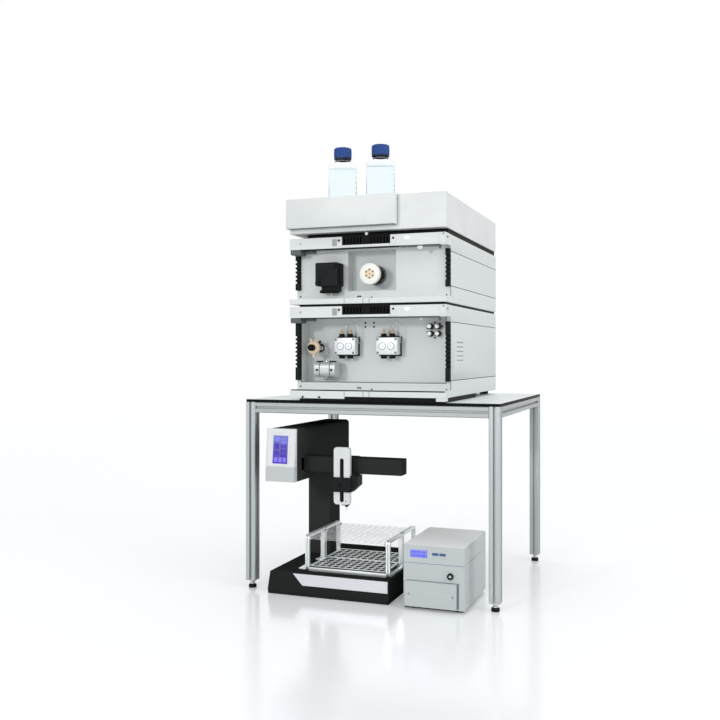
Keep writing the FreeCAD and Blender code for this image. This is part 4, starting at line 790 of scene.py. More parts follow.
def make_guides():
    """The black combs beside the panels, whose slots hold the capillaries."""
    pitch, slot, spine = 9.4, 4.6, 2.4
    combs = bmesh.new()
    for index, (lowest, highest) in enumerate(islands("tubing_guides")):
        slots = 8 if highest.z < PUMP_TOP else 6
        centre = (lowest + highest) / 2
        reach = (slots - 1) / 2 * pitch + slot / 2
        soft_box(combs, at(lowest.x, highest.y - spine, lowest.z), highest, 0.3)
        for z0, z1 in ((lowest.z, centre.z - reach), (centre.z + reach, highest.z)):
            soft_box(combs, at(lowest.x, lowest.y, z0), at(highest.x, highest.y, z1), 0.8)
        depth = highest.y - lowest.y
        values = {
            "Count": slots - 1, "Start": centre - UP * (slots - 2) / 2 * pitch,
            "Pitch": at(0, 0, pitch), "Finish": BLACK,
            "Slat size": at(highest.x - lowest.x, depth, pitch - slot)}
        teeth = grown("guide_teeth_%d" % index, SLATS, values)
        soften(teeth, 0.8)
        fitted(teeth, BLACK, "tubing_guides", True)
    fit(combs, "guide_combs", BLACK, "tubing_guides", True)


def foot(maker, box):
    lowest, highest = box
    radius = (highest.x - lowest.x) / 2
    height = highest.z - lowest.z
    centre = at((lowest.x + highest.x) / 2, (lowest.y + highest.y) / 2, lowest.z)
    lathe(
        maker, [(0, 0), (radius - 1, 0), (radius, 1), (radius, height - 1), (radius - 0.6, height),
        (0, height)], centre, steps=32)


def oval(maker, centre, width, height, proud, steps=32):
    """A flat oval on a front face."""
    rings = []
    for y in (0.5, -proud):
        ring = []
        for i in range(steps):
            angle = 2 * math.pi * i / steps
            edge = at(width / 2 * math.cos(angle), y, height / 2 * math.sin(angle))
            ring.append(maker.verts.new(centre + edge))
        rings.append(ring)
    back, front = rings
    band(maker, back, front)
    maker.faces.new(back)
    maker.faces.new(list(reversed(front)))


def make_bar_details():
    """Painted shadow strips, brackets in painted shade, lamps, catches and screws of the top bars."""
    bars, shadow_strips, tabs, lamps, pins, shade_brackets = (bmesh.new() for _ in range(6))
    dark = []
    grille_left, grille_right = low("vent_grilles").x, high("vent_grilles").x
    proud = FRONT - 1.2
    for top in (PUMP_TOP, VALVE_TOP):
        lip_z = top - LIP_DROP
        # The first row is a black strip of painted shadow under the bar's front edge. The bracket rows
        # are brackets and lips under the bar, darkened as painted shade; the second bracket step stands
        # for a stepped shadow on the panel.
        for maker, x0, x1, y0, y1, z0, z1, radius in (
                (shadow_strips, 26 - SIDE, grille_right + 20, 1, 16, -1.7, -0.1, 0),
                (shade_brackets, 1 - SIDE, 27 - SIDE, 2, 34, -11, -0.1, 2),
                (shade_brackets, 26 - SIDE, 52 - SIDE, 20, 34, -6, -0.1, 1),
                (shade_brackets, grille_right + 20, SIDE - 13, 2, 16, -3, -0.1, 0.6),
                (shade_brackets, SIDE - 16.5, SIDE - 13.5, 3, 12, -9, -0.1, 0.4),
                (tabs, grille_left - 23, grille_left - 12, -0.8, 1, 5, 20, 0.4),
                (bars, grille_left - 0.6, grille_right + 0.6, -1.2, 1, 0.2, 5.6, 0.4),
                (bars, grille_right + 1, grille_right + 12, -1.2, 1, 3, 19, 0.4),
                (bars, SIDE - 13, SIDE - 1.2, -1.8, 6, -1.5, LIP_DROP - 0.6, 0.8)):
            soft_box(maker, at(x0, FRONT + y0, lip_z + z0), at(x1, FRONT + y1, lip_z + z1), radius)
        oval(lamps, at(95, FRONT, top - 8.5), 11, 5, 0.5)
        for x, z, radius in (
                (grille_left - 7, top - 8, 2.3), (grille_right + 7.5, top - 8, 2.3),
                (SIDE - 4.6, top - 3.8, 1.9), (-SIDE + 27, top - 12, 1.2)):
            dark.append((at(x, proud + 0.3, z), FORWARD, radius))
        for x, facing in ((SIDE, RIGHT), (-SIDE, LEFT)):
            dark.append((at(x, FRONT + 14, top - 9), facing, 2.0))
    lathe(
        pins, [(0, 0), (3.4, 0), (3.4, 3), (0, 3.4)], at(2, FRONT + 5, VALVE_TOP + 4.6), FORWARD,
        steps=24)
    lathe(
        pins, [(0, 0), (6, 0), (6, 2.4), (5.2, 3), (0, 3)],
        at(123, FRONT + 5, VALVE_TOP - LIP_DROP - 3.6), FORWARD, steps=40)
    lathe(
        pins, [(0, 0), (2.6, 0), (2.6, 7), (2, 8), (0, 8)], at(124, FRONT + 8, PUMP_TOP - LIP_DROP),
        DOWN, steps=24)
    fit(bars, "bar_tabs", HOUSING, "top_bars")
    fit(shadow_strips, "bar_lips", DEEP_BLACK, "vent_grilles")
    fit(shade_brackets, "bar_brackets", BRACKET_IN_PAINTED_SHADE, "top_bars")
    fit(tabs, "bar_inserts", PLUG, "pump_panel")
    fit(lamps, "status_lamps", LAMP, "top_bars")
    fit(pins, "door_pins", HOUSING, "top_bars")
    fasteners("bar_screws", CAP_SCREW, DEEP_BLACK, "top_bars", dark)


def make_base_details():
    """Joints and screws of the bottom bars, black pans under the cases as painted shade in the gaps,
    and the feet.
    """
    joints, shade_pans, feet, stops = (bmesh.new() for _ in range(4))
    body_front = low("pump_housing").y
    dark = []
    for base in (PUMP_BASE, VALVE_BASE):
        for x in (-49, -5, 9):
            soft_box(
                joints, at(x - 0.7, FRONT - 0.15, base + 0.5), at(x + 0.7, FRONT + 0.5, base + 11.5))
        for x, rise, radius in (
                (-32, 18, 1.9), (-27, 18, 1.9), (0.3, 15.5, 1.7), (-172, 20, 1.7), (171, 17, 1.5)):
            dark.append((at(x, body_front, base + rise), FORWARD, radius))
    # Black pans in the gap above the pump's bottom bar and in the gaps under the cases and the tray:
    # painted shade where these gaps lie in shadow.
    soft_box(shade_pans, at(-SIDE + 4, FRONT + 1, PUMP_BASE + 12), at(SIDE - 4, FRONT + 6, PUMP_BASE + 14.4))
    tray_base = low("eluent_tray").z
    back = high("pump_housing").y
    bench_face = low("module_feet").z
    half_way = FRONT + 0.57 * (back - FRONT)
    for bottom, top, inset, setback, end in (
            (bench_face, PUMP_BASE, 24, 3, half_way), (PUMP_TOP, VALVE_BASE, 24, 3, back - 8),
            (VALVE_TOP, tray_base, 34, 26, back - 8)):
        soft_box(shade_pans, at(-SIDE + inset, FRONT + setback, bottom + 0.1), at(SIDE - 2.5, end, top - 0.1))
    soft_box(
        feet, at(SIDE - 22, FRONT + 1, PUMP_BASE - 7.5), at(SIDE - 1, FRONT + 22, PUMP_BASE + 0.5), 1)
    soft_box(feet, at(-SIDE + 3, FRONT - 0.2, PUMP_BASE - 5), at(-49, FRONT + 14, PUMP_BASE + 0.5), 0.8)
    for x in (-148, -108):
        lathe(
            stops, [(0, 0), (2.2, 0), (2.2, 3), (0, 3)], at(x, FRONT + 1, PUMP_BASE - 2), FORWARD,
            steps=20)
    fit(joints, "bar_joints", BRACKET, "bottom_bars")
    fit(shade_pans, "base_pans", DEEP_BLACK, "module_feet")
    fit(feet, "bar_feet", HOUSING, "bottom_bars")
    fit(stops, "bar_stops", BLACK, "vent_grilles")
    fasteners("base_screws", CAP_SCREW, DEEP_BLACK, "bottom_bars", dark)


def make_seam_lines():
    """The dark lines of the joints along the sides and round the recess, and painted shade lines under
    and beside the tray plate.
    """
    seams = bmesh.new()
    front, back = low("pump_housing").y, high("pump_housing").y
    for node in ("pump_housing", "valve_housing"):
        for z in (low(node).z + 36, high(node).z - 36):
            for x in (SIDE, -SIDE):
                soft_box(
                    seams, at(x - 0.7, front + 0.2, z - 0.7),
                    at(x + 0.06 if x > 0 else x + 0.7, back, z + 0.7))
        soft_box(
            seams, at(SIDE - 1.0, front - 0.1, low(node).z + 14),
            at(SIDE + 0.05, front + 0.8, low(node).z + 34))
    inner, sill, lintel = 170, low("pump_panel").z - 1.6, PUMP_TOP - LIP_DROP
    for x0, x1, z0, z1 in (
            (-inner, inner, sill, sill + 1.3), (-inner - 0.6, -inner + 0.7, sill, lintel),
            (inner - 0.7, inner + 0.6, sill, lintel)):
        soft_box(seams, at(x0, front - 0.12, z0), at(x1, front + 0.3, z1))
    # Grey strips under the tray plate and beside its right edge: painted shade of the protruding plate.
    plate_low, plate_high = low("tray_front_plate"), high("tray_front_plate")
    edges = bmesh.new()
    soft_box(
        edges, at(plate_low.x + 1, plate_low.y + 1, plate_low.z - 0.5),
        at(plate_high.x - 1, plate_high.y, plate_low.z - 0.05))
    soft_box(
        edges, at(plate_high.x, plate_high.y - 0.5, plate_low.z),
        at(plate_high.x + 1.3, plate_high.y + 0.2, plate_high.z - 1))
    fit(edges, "tray_plate_joint", BRACKET, "tray_front_plate")
    fit(seams, "seam_lines", SEAM_SHADE, "pump_back_plates")


def make_case_backs():
    """Mains inlets, painted louvre shadows and screws on the backs and sides of the modules."""
    back = high("pump_housing").y
    dark = []
    pins = bmesh.new()
    shells = bmesh.new()
    for node in ("pump_housing", "valve_housing"):
        centre = middle(node)
        for x in (-SIDE + 10, 0, SIDE - 10):
            for z in (low(node).z + 10, high(node).z - 10):
                dark.append((at(x, back, z), BACKWARD, 2.6))
        for x, facing in ((SIDE, RIGHT), (-SIDE, LEFT)):
            for y in (low(node).y + 18, back - 18):
                for z in (low(node).z + 14, high(node).z - 14):
                    dark.append((at(x, y, z), facing, 2.2))
        inlet_x = SIDE - 54
        floor = back - 20
        soft_box(
            shells, at(inlet_x - 12, floor, centre.z - 8), at(inlet_x + 12, floor + 3, centre.z + 8), 1)
        for x, z in ((-7, -2), (0, 3), (7, -2)):
            soft_box(
                pins, at(inlet_x + x - 1, floor + 2, centre.z + z - 2),
                at(inlet_x + x + 1, floor + 14, centre.z + z + 2), 0.3)
    fasteners("case_screws", FLAT_SCREW, BRIGHT_STEEL, "pump_housing", dark)
    length, height, pitch, count = 60, 2.2, 9.9, 5
    for name, x in (("left", -SIDE + 1.6), ("right", SIDE - 1.6)):
        first = at(
            x, low("pump_housing").y + 51.5 + length / 2,
            middle("pump_housing").z - (count - 1) / 2 * pitch)
        values = {
            "Count": count, "Start": first, "Pitch": at(0, 0, pitch), "Finish": PLUG,
            "Slat size": at(1.2, length - 0.6, height)}
        shadows = grown("louvre_shadows_" + name, SLATS, values)
        fitted(shadows, PLUG, "pump_back_plates")
    fit(shells, "inlet_shells", BLACK, "pump_back_plates")
    fit(pins, "inlet_pins", BRIGHT_STEEL, "inlet_fittings")


# Pump module front


def plunger_xs(node):
    centre = middle(node).x
    return (centre - 10, centre + 10)


def make_pump_head(node):
    """A bright steel block with two ringed plunger caps and four corner screws."""
    corner, opposite = low(node), high(node)
    face = corner.y + 1
    block = bmesh.new()
    soft_box(block, at(corner.x, face, corner.z), opposite, 2.2, 3)
    for x in plunger_xs(node):
        centre = at(x, face, middle(node).z)
        lathe(
            block, [(0, -1), (7.6, -1), (7.6, 0.6), (7.0, 0.9), (6.6, 0.3), (6.2, 0.3), (5.8, 0.9),
            (1.4, 0.95), (1.1, 0.4), (0, 0.4)], centre, FORWARD, steps=48)
    fit(block, node + "_finished", STEEL, node, True)
    rings = bmesh.new()
    for x in plunger_xs(node):
        centre = at(x, face, middle(node).z)
        lathe(
            rings, [(7.6, -0.5), (8.8, -0.5), (8.8, 0.12), (7.6, 0.12)], centre, FORWARD, steps=48,
            closed=True)
        lathe(rings, [(0, 0), (1.5, 0), (1.5, 1.1), (0, 1.1)], centre, FORWARD, steps=20)
    fit(rings, node + "_ring_lines", DULL_STEEL, node)
    places = []
    for x in (corner.x + 4.6, opposite.x - 4.6):
        for z in (corner.z + 4.6, opposite.z - 4.6):
            places.append((at(x, face, z), FORWARD, 2.5))
    fasteners(node + "_screws", CAP_SCREW, DULL_STEEL, node, places)


def make_pump_fittings():
    """Ribbed check valve nuts, tan fittings and the steel loops over them."""
    nuts = bmesh.new()
    for lowest, highest in islands("check_valves"):
        centre = (lowest + highest) / 2
        upward = centre.z > middle("pump_head_left").z
        base = at(centre.x, centre.y, lowest.z if upward else highest.z)
        radius, height = 6.6, highest.z - lowest.z
        lathe(
            nuts, [(0, 0), (radius - 0.5, 0), (radius, 0.5, True), (radius, height - 1.2, True),
            (radius - 1.2, height), (0, height)], base, UP if upward else DOWN, steps=120, ribs=30,
            groove=0.55)
    fit(nuts, "check_valves_finished", BLACK, "check_valves", True, 60)
    stubs = bmesh.new()
    for lowest, highest in islands("pump_fittings"):
        centre = (lowest + highest) / 2
        centre.z = lowest.z
        height = highest.z - lowest.z
        lathe(
            stubs, [(0, 0), (3.1, 0), (3.1, 3.2, True), (3.1, height - 4, True), (1.9, height - 1.5),
            (1.2, height), (0, height)], centre, steps=48, ribs=12, groove=0.5)
    fit(stubs, "pump_fittings_finished", TAN, "pump_fittings", True, 50)
    dressed("pump_back_plates", BLACK, SOFT_EDGE)
    loops = bmesh.new()
    for lowest, highest in islands("steel_capillaries"):
        x0, x1 = lowest.x + 0.8, highest.x - 0.8
        y = lowest.y + 0.8
        reach = (x1 - x0) / 2
        base = high("pump_fittings").z
        top = highest.z - 0.8
        crown = at(x0 + reach, y, top - reach)
        bend = [crown + around(180 - 180 * i / 16) * reach for i in range(17)]
        foot_z = lowest.z + 0.8
        route = [at(x0, y, base - 1)] + bend
        route += rounded_path([bend[-1], at(x1, y, foot_z), at(x1, highest.y, foot_z)], reach)[1:]
        tube(loops, route, 0.7)
        x2 = x0 - 20
        low_crown = at(x2 + 6, y + 1.5, base + 2)
        low_bend = [low_crown + around(180 - 180 * i / 12) * 6 for i in range(13)]
        route = [at(x2, y, base - 1)] + low_bend
        route += rounded_path(
            [low_bend[-1], low_bend[-1] + DOWN * 8, at(x2 + 12, highest.y, base - 6)], 5)[1:]
        tube(loops, route, 0.55)
    fit(loops, "capillaries_finished", BRIGHT_STEEL, "steel_capillaries", True)


def make_purge_valve():
    """The beige purge valve with its ports and steel nuts, and the black knob."""
    corner, opposite = low("purge_valve"), high("purge_valve")
    knob_low, knob_high = low("purge_knob"), high("purge_knob")
    x, z = (knob_low.x + knob_high.x) / 2, (knob_low.z + knob_high.z) / 2
    back = at(x, opposite.y, z)
    depth = opposite.y - corner.y
    disc = 12
    body = bmesh.new()
    lathe(
        body, [(0, depth - disc), (14.5, depth - disc), (14.5, depth - 2), (13, depth - 0.3),
        (12.4, depth), (10.5, depth), (10, depth - 0.6), (8.4, depth - 0.6), (8, depth), (4, depth),
        (4, depth - 3), (0, depth - 3)], back, FORWARD, steps=64)
    for angle in (70, 110, 270):
        direction = around(angle)
        start = at(x, corner.y + disc / 2, z) + direction * 13.5
        lathe(
            body, [(0, 0), (2.9, 0), (2.9, 6.5, True), (2.2, 8), (1.4, 9.5), (0, 9.5)], start,
            direction, steps=48, ribs=12, groove=0.4)
    fit(body, "purge_collar", POLYMER, "purge_valve", True, 50)
    single(
        lathe, "purge_body", BLACK, "purge_valve",
        [(0, 0), (10, 0), (10, depth - disc - 6), (11, depth - disc - 6), (11, depth - disc),
        (0, depth - disc)], back, FORWARD, stands_for=True, steps=48)
    nuts = bmesh.new()
    side_y = opposite.y - 24
    prism(nuts, at(x + 9.5, side_y, z), 3.1, 5, 6, RIGHT)
    prism(nuts, at(x + 13, side_y - 8, z - 3), 2.6, 5, 6, RIGHT)
    route = rounded_path(
        [at(x + 14, side_y, z), at(x + 25, side_y, z), at(x + 25, side_y, z - 19),
        at(x + 25, back.y, z - 22)], 5)
    tube(nuts, route, 0.6)
    fit(nuts, "purge_nuts", BRIGHT_STEEL, "purge_valve", True)
    single(
        lathe, "purge_dark_port", BLACK, "purge_valve", [(0, 0), (2.6, 0), (2.6, 6), (1.4, 8), (0, 8)],
        at(x + 8, corner.y + disc + 8, z + 9), at(0.35, 0, 0.94).normalized(), stands_for=True,
        steps=24)
    radius, length = 7.4, 14
    face = at(x, corner.y - 0.3, z)
    single(
        lathe, "purge_knob_finished", DEEP_BLACK, "purge_knob",
        [(0, -8), (2.9, -8), (2.9, 0), (radius - 0.4, 0), (radius, 0.6, True),
        (radius, length - 1.6, True), (radius - 1.2, length - 0.3), (radius - 2, length),
        (0, length - 0.4)], face, FORWARD, stands_for=True, smooth_below=50, steps=96, ribs=16,
        groove=0.5)


def make_mixer():
    """The silver mixing chamber: rounded halves either side of two clamp seams."""
    corner, opposite = low("mixing_chamber"), high("mixing_chamber")
    front, back = corner.y, corner.y + 36
    foot_y = opposite.y
    x0, x1 = corner.x, opposite.x
    seams = (x0 + 12.5, x1 - 12.5)
    gap = 0.9
    shell, core = bmesh.new(), bmesh.new()
    spans = ((x0, seams[0] - gap), (seams[0] + gap, seams[1] - gap), (seams[1] + gap, x1))
    for start, end in spans:
        rounded_bar(shell, start, end, front, back, corner.z, opposite.z, 11)
    rounded_bar(core, x0 + 1, x1 - 1, front + 0.8, back - 0.8, corner.z + 0.8, opposite.z - 0.8, 10.2)
    fit(core, "mixer_seals", DEEP_BLACK, "mixing_chamber", True)
    centre_x, centre_z = (x0 + x1) / 2, (corner.z + opposite.z) / 2
    soft_box(
        shell, at(centre_x - 10, back - 2, centre_z - 10), at(centre_x + 10, foot_y, centre_z + 10),
        0.6)
    fit(shell, "mixer_finished", GREY_STEEL, "mixing_chamber", True)
    screws = [(at(x, front, centre_z - 1), FORWARD, 2.7) for x in (x0 + 7, x1 - 7.5)]
    fasteners("mixer_screws", CAP_SCREW, DEEP_BLACK, "mixing_chamber", screws)
    bits = bmesh.new()
    for start, end in ((x0 + 2, seams[0] + 1), (seams[1] - 4, x1 - 3)):
        soft_box(bits, at(start, front + 9, opposite.z - 1), at(end, front + 22, opposite.z + 2.6), 0.8)
    fit(bits, "mixer_clamps", BLACK, "check_valves")
    nipple = bmesh.new()
    for z, direction in ((opposite.z - 1, UP), (corner.z + 1, DOWN)):
        lathe(
            nipple, [(0, 0), (2.8, 0), (2.8, 3), (1.6, 5.5), (0, 5.5)], at(centre_x, front + 14, z),
            direction, steps=24)
    fit(nipple, "mixer_nipples", BRIGHT_STEEL, "mixing_chamber")


def rounded_bar(maker, x0, x1, y0, y1, z0, z1, radius, steps=8):
    """A bar along X with rounded long edges."""
    outline = []
    for cy, cz, start in (
            (y1 - radius, z1 - radius, 0), (y0 + radius, z1 - radius, 90),
            (y0 + radius, z0 + radius, 180), (y1 - radius, z0 + radius, 270)):
        for i in range(steps + 1):
            angle = math.radians(start + 90 * i / steps)
            outline.append((cy + radius * math.cos(angle), cz + radius * math.sin(angle)))
    left, right = ([maker.verts.new((x, y, z)) for y, z in outline] for x in (x0, x1))
    band(maker, left, right)
    maker.faces.new(left)
    maker.faces.new(list(reversed(right)))


def make_inlet_fittings():
    """Four round steel caps on dark bodies, with small screws round them."""
    caps = bmesh.new()
    bodies = bmesh.new()
    for lowest, highest in islands("inlet_fittings"):
        centre = (lowest + highest) / 2
        base = at(centre.x, highest.y, centre.z)
        length = highest.y - lowest.y
        lathe(
            bodies, [(0, 0), (6.5, 0), (6.5, length - 5, True), (5.2, length - 3.6),
            (0, length - 3.6)], base, FORWARD, steps=72, ribs=18, groove=0.5)
        lathe(
            caps, [(0, length - 3.6), (4.9, length - 3.6), (4.9, length - 0.8), (4.2, length),
            (1.6, length), (1.4, length - 1), (0, length - 1)], base, FORWARD, steps=40)
    fit(bodies, "inlet_bodies", BROWN, "inlet_fittings", True, 50)
    fit(caps, "inlet_caps", GREY_STEEL, "inlet_fittings", True)
    centre = middle("inlet_fittings")
    panel = low("pump_panel").y
    places = []
    for dx, dz in ((0, 17), (0, -17), (-17, 4), (-17, -4), (17, 8), (11, 14)):
        places.append((at(centre.x + dx, panel, centre.z + dz), FORWARD, 2.0))
    fasteners("panel_screws", CAP_SCREW, BROWN, "pump_panel", places)
    sockets = bmesh.new()
    for x in (-31, -10.5):
        for z in (606, 597):
            lathe(
                sockets, [(0, -1), (2.3, -1), (2.3, 0.3), (0, 0.3)], at(x, panel, z), FORWARD, steps=20)
    fit(sockets, "signal_sockets", DEEP_BLACK, "check_valves")


# Valve module front


def make_valve():
    """The ported white stator with its beige centre, and the black neck behind it."""
    centre = middle("valve_stator")
    back = at(centre.x, high("valve_stator").y, centre.z)
    depth = high("valve_stator").y - low("valve_stator").y
    radius = (high("valve_stator").x - low("valve_stator").x) / 2
    single(
        lathe, "stator_finished", VALVE_WHITE, "valve_stator",
        [(0, 0), (radius - 0.6, 0), (radius, 0.6), (radius, depth - 1.4), (radius - 0.4, depth - 0.4),
        (radius - 1.6, depth), (11.6, depth), (11.2, depth - 0.4), (0, depth - 0.4)], back, FORWARD,
        stands_for=True, steps=96)
    single(
        lathe, "stator_rim", POLYMER, "valve_stator",
        [(radius - 0.9, 0), (radius + 0.02, 0.5), (radius + 0.02, 3.2), (radius - 0.9, 3.6)], back,
        FORWARD, stands_for=True, steps=96, closed=True)
    single(
        lathe, "stator_heart", POLYMER, "valve_stator",
        [(0, depth - 1.2), (11.1, depth - 1.2), (11.1, depth - 0.15), (10.6, depth), (0, depth)], back,
        FORWARD, stands_for=True, steps=64)
    ports = bmesh.new()
    for i in range(6):
        place = back + around(90 + 60 * i) * 9 + FORWARD * (depth - 0.2)
        lathe(
            ports, [(1.05, 0), (1.75, 0), (1.75, 0.4), (1.05, 0.4)], place, FORWARD, steps=24,
            closed=True)
        lathe(ports, [(0, 0), (1.05, 0), (1.05, 0.22), (0, 0.22)], place, FORWARD, steps=24)
    lathe(
        ports, [(0, 0), (1.2, 0), (1.2, 0.35), (0, 0.35)], back + FORWARD * (depth - 0.1), FORWARD,
        steps=24)
    fit(ports, "stator_ports", DEEP_BLACK, "valve_stator", True)
    neck_back = at(centre.x, high("valve_neck").y, centre.z)
    length = high("valve_neck").y - low("valve_neck").y
    single(
        lathe, "neck_finished", BLACK, "valve_neck",
        [(0, 6.1), (19.5, 6.1), (19.5, length - 0.5), (19, length), (11.4, length),
        (11.4, length - 26.6), (0, length - 26.6)], neck_back, FORWARD, stands_for=True, steps=72)
    single(
        lathe, "valve_flange", DULL_STEEL, "valve_neck",
        [(0, 0), (22.4, 0), (22.4, 5.4), (21.8, 6), (0, 6)], neck_back, FORWARD, stands_for=True,
        steps=72)
    dressed("valve_rotor", STEEL, FINE_EDGE)
    places = []
    for angle in (-35, 35, 145, 215):
        direction = around(angle)
        places.append((neck_back + FORWARD * 6 + direction * 20.9, FORWARD, 1.1))
        places.append((neck_back + FORWARD * 12 + direction * 19.5, direction, 1.7))
    fasteners("neck_screws", CAP_SCREW, BRIGHT_STEEL, "valve_neck", places)


def make_flow_cell():
    """The black flow cell: box, side cover, shoe, a steel port and its two knurled screws."""
    dressed("flow_cell", BLACK, FINE_EDGE)
    corner, opposite = low("flow_cell"), high("flow_cell")
    cover = bmesh.new()
    soft_box(
        cover, at(opposite.x - 0.4, corner.y + 8, corner.z + 13),
        at(opposite.x + 1.4, opposite.y - 3, opposite.z - 2), 0.7)
    soft_box(
        cover, at(corner.x + 6, corner.y + 10, corner.z - 4),
        at(opposite.x - 6, opposite.y - 10, corner.z + 2), 0.8)
    fit(cover, "cell_cover", DEEP_BLACK, "flow_cell")
    for name in ("lower", "upper"):
        node = "cell_thumb_screw_" + name
        centre = middle(node)
        face = at(centre.x, corner.y - 0.3, centre.z)
        length = corner.y - 0.3 - low(node).y
        single(
            lathe, node + "_finished", BLACK, node,
            [(0, -12), (1.9, -12), (1.9, 0), (4.6, 0), (5, 0.5, True), (5, length - 0.9, True),
            (4.2, length), (2.2, length), (1.9, length - 0.6), (0, length - 0.6)], face, FORWARD,
            stands_for=True, smooth_below=55, steps=96, ribs=24, groove=0.5)
    single(
        lathe, "cell_port", BRIGHT_STEEL, "valve_neck", [(0, 0), (1.5, 0), (1.5, 4), (0, 4)],
        at(corner.x + 28, opposite.y - 12, corner.z - 4), DOWN, steps=20)


# Tray and bottles


def make_bottle(side):
    """A glass bottle with a rounded shoulder and a printed scale, its liquid and its cap."""
    node, cap = "bottle_" + side, "bottle_cap_" + side
    base = middle(node)
    base.z = low(node).z
    radius = (high(node).x - low(node).x) / 2
    height = high(node).z - base.z
    neck = 18.5
    shoulder = height - 44
    wall = 2.2
    outer = [(0, 1.5), (radius - 9, 0), (radius - 5, 0)]
    outer += [
        (radius - 5 + 5 * math.sin(math.radians(a)), 5 - 5 * math.cos(math.radians(a)))
        for a in (30, 60, 90)]
    outer += [(radius, shoulder)]
    outer += shoulder_curve(radius, neck, shoulder, height - 28)
    outer += [(neck, height - 20), (neck, height - 1), (neck - 0.6, height)]
    inner = [(neck - wall, height - 0.4), (neck - wall, height - 28)]
    inner += [
        (r - wall, z - wall / 2) for r,
        z in reversed(shoulder_curve(radius, neck, shoulder, height - 28))]
    inner += [(radius - wall, shoulder - wall / 2), (radius - wall, 8), (radius - wall - 3, 5), (0, 4)]
    single(
        lathe, node + "_finished", GLASS, node, outer + inner, base, stands_for=True, smooth_below=60,
        steps=72)

    inside = radius - wall - 0.06
    surface = high("eluent_fillings").z - base.z
    single(
        lathe, "eluent_" + side, LIQUID, "eluent_fillings",
        [(0, 4.1), (inside - 3, 5.2), (inside, 8), (inside, surface), (inside - 1, surface - 0.6),
        (0, surface - 0.8)], base, stands_for=True, smooth_below=50, steps=72)

    scale = bmesh.new()
    for i in range(6):
        arc_mark(scale, base, radius + 0.08, base.z + 55 + 12 * i, math.radians(-8), 7, 1.3)
    fit(scale, "scale_" + side, TICKS, node)

    cap_base = at(base.x, base.y, low(cap).z)
    tall = high(cap).z - low(cap).z
    rim = 20.8
    bore = neck + 0.3
    single(
        lathe, cap + "_finished", CAP_BLUE, cap,
        [(bore, 3.6), (rim - 0.3, 3.6), (rim, 4.2, True), (rim, tall - 3.6, True),
        (rim - 0.8, tall - 1.6), (rim - 2.6, tall - 0.2), (rim - 4, tall), (10, tall),
        (9.6, tall - 0.5), (0, tall - 0.5), (0, tall - 2.4), (bore, tall - 2.4)], cap_base,
        stands_for=True, smooth_below=60, steps=216, closed=True, ribs=54, groove=0.75)
    single(
        lathe, cap + "_ring", CAP_SHADE, cap,
        [(bore, 0), (rim - 0.8, 0), (rim - 0.5, 0.5), (rim - 0.5, 3.1), (bore, 3.1)], cap_base,
        stands_for=True, steps=72, closed=True)


def shoulder_curve(radius, neck, start, end, steps=12):
    """The smooth rise from a bottle's wall to its neck."""
    curve = []
    for i in range(1, steps + 1):
        t = i / steps
        ease = t * t * (3 - 2 * t)
        rise = math.sin(t * math.pi / 2)
        curve.append((radius + (neck - radius) * ease, start + (end - start) * rise))
    return curve


def arc_mark(maker, centre, radius, z, angle, length, height, steps=6):
    """A thin printed mark that follows a bottle's round wall."""
    half = length / radius / 2
    rows = []
    for reach in (radius - 0.1, radius):
        for dz in (-height / 2, height / 2):
            row = []
            for i in range(steps + 1):
                turn = angle - half + 2 * half * i / steps
                row.append(
                    maker.verts.new(centre + at(reach * math.cos(turn), reach * math.sin(turn),
                    z + dz - centre.z)))
            rows.append(row)
    inner_low, inner_high, outer_low, outer_high = rows
    for a, b in (
            (outer_low, outer_high), (outer_high, inner_high), (inner_high, inner_low),
            (inner_low, outer_low)):
        for i in range(steps):
            maker.faces.new((a[i], a[i + 1], b[i + 1], b[i]))
    for i in (0, steps):
        maker.faces.new((inner_low[i], outer_low[i], outer_high[i], inner_high[i]))


# Fraction collector


def make_collector():
    for node, finish, edge in (
            ("collector_base", BASE_BLACK, SOFT_EDGE), ("collector_trim", TRIM, FINE_EDGE),
            ("collector_column", BEAM_BLACK, 0), ("collector_beam", BEAM_BLACK, 0),
            ("console", CONSOLE_WITH_PAINTED_SHADE, 0), ("collector_arm", SATIN_BLACK, 0),
            ("head_carriage", BLACK, SOFT_EDGE), ("head_plate", CONSOLE, 0)):
        dressed(node, finish, edge)
    colours = [(0.0, shade(84, 44, 200)), (0.45, shade(96, 84, 178)), (1.0, shade(124, 134, 208))]
    bottom, top = low("console_screen").z, high("console_screen").z
    dressed("console_screen", lit_face("console screen", colours, bottom, top, 0.9), 0)
    make_screen_tiles()
    make_clamp_details()
    make_base_shade_strips()
    make_arm_buffers()
    make_nozzle()


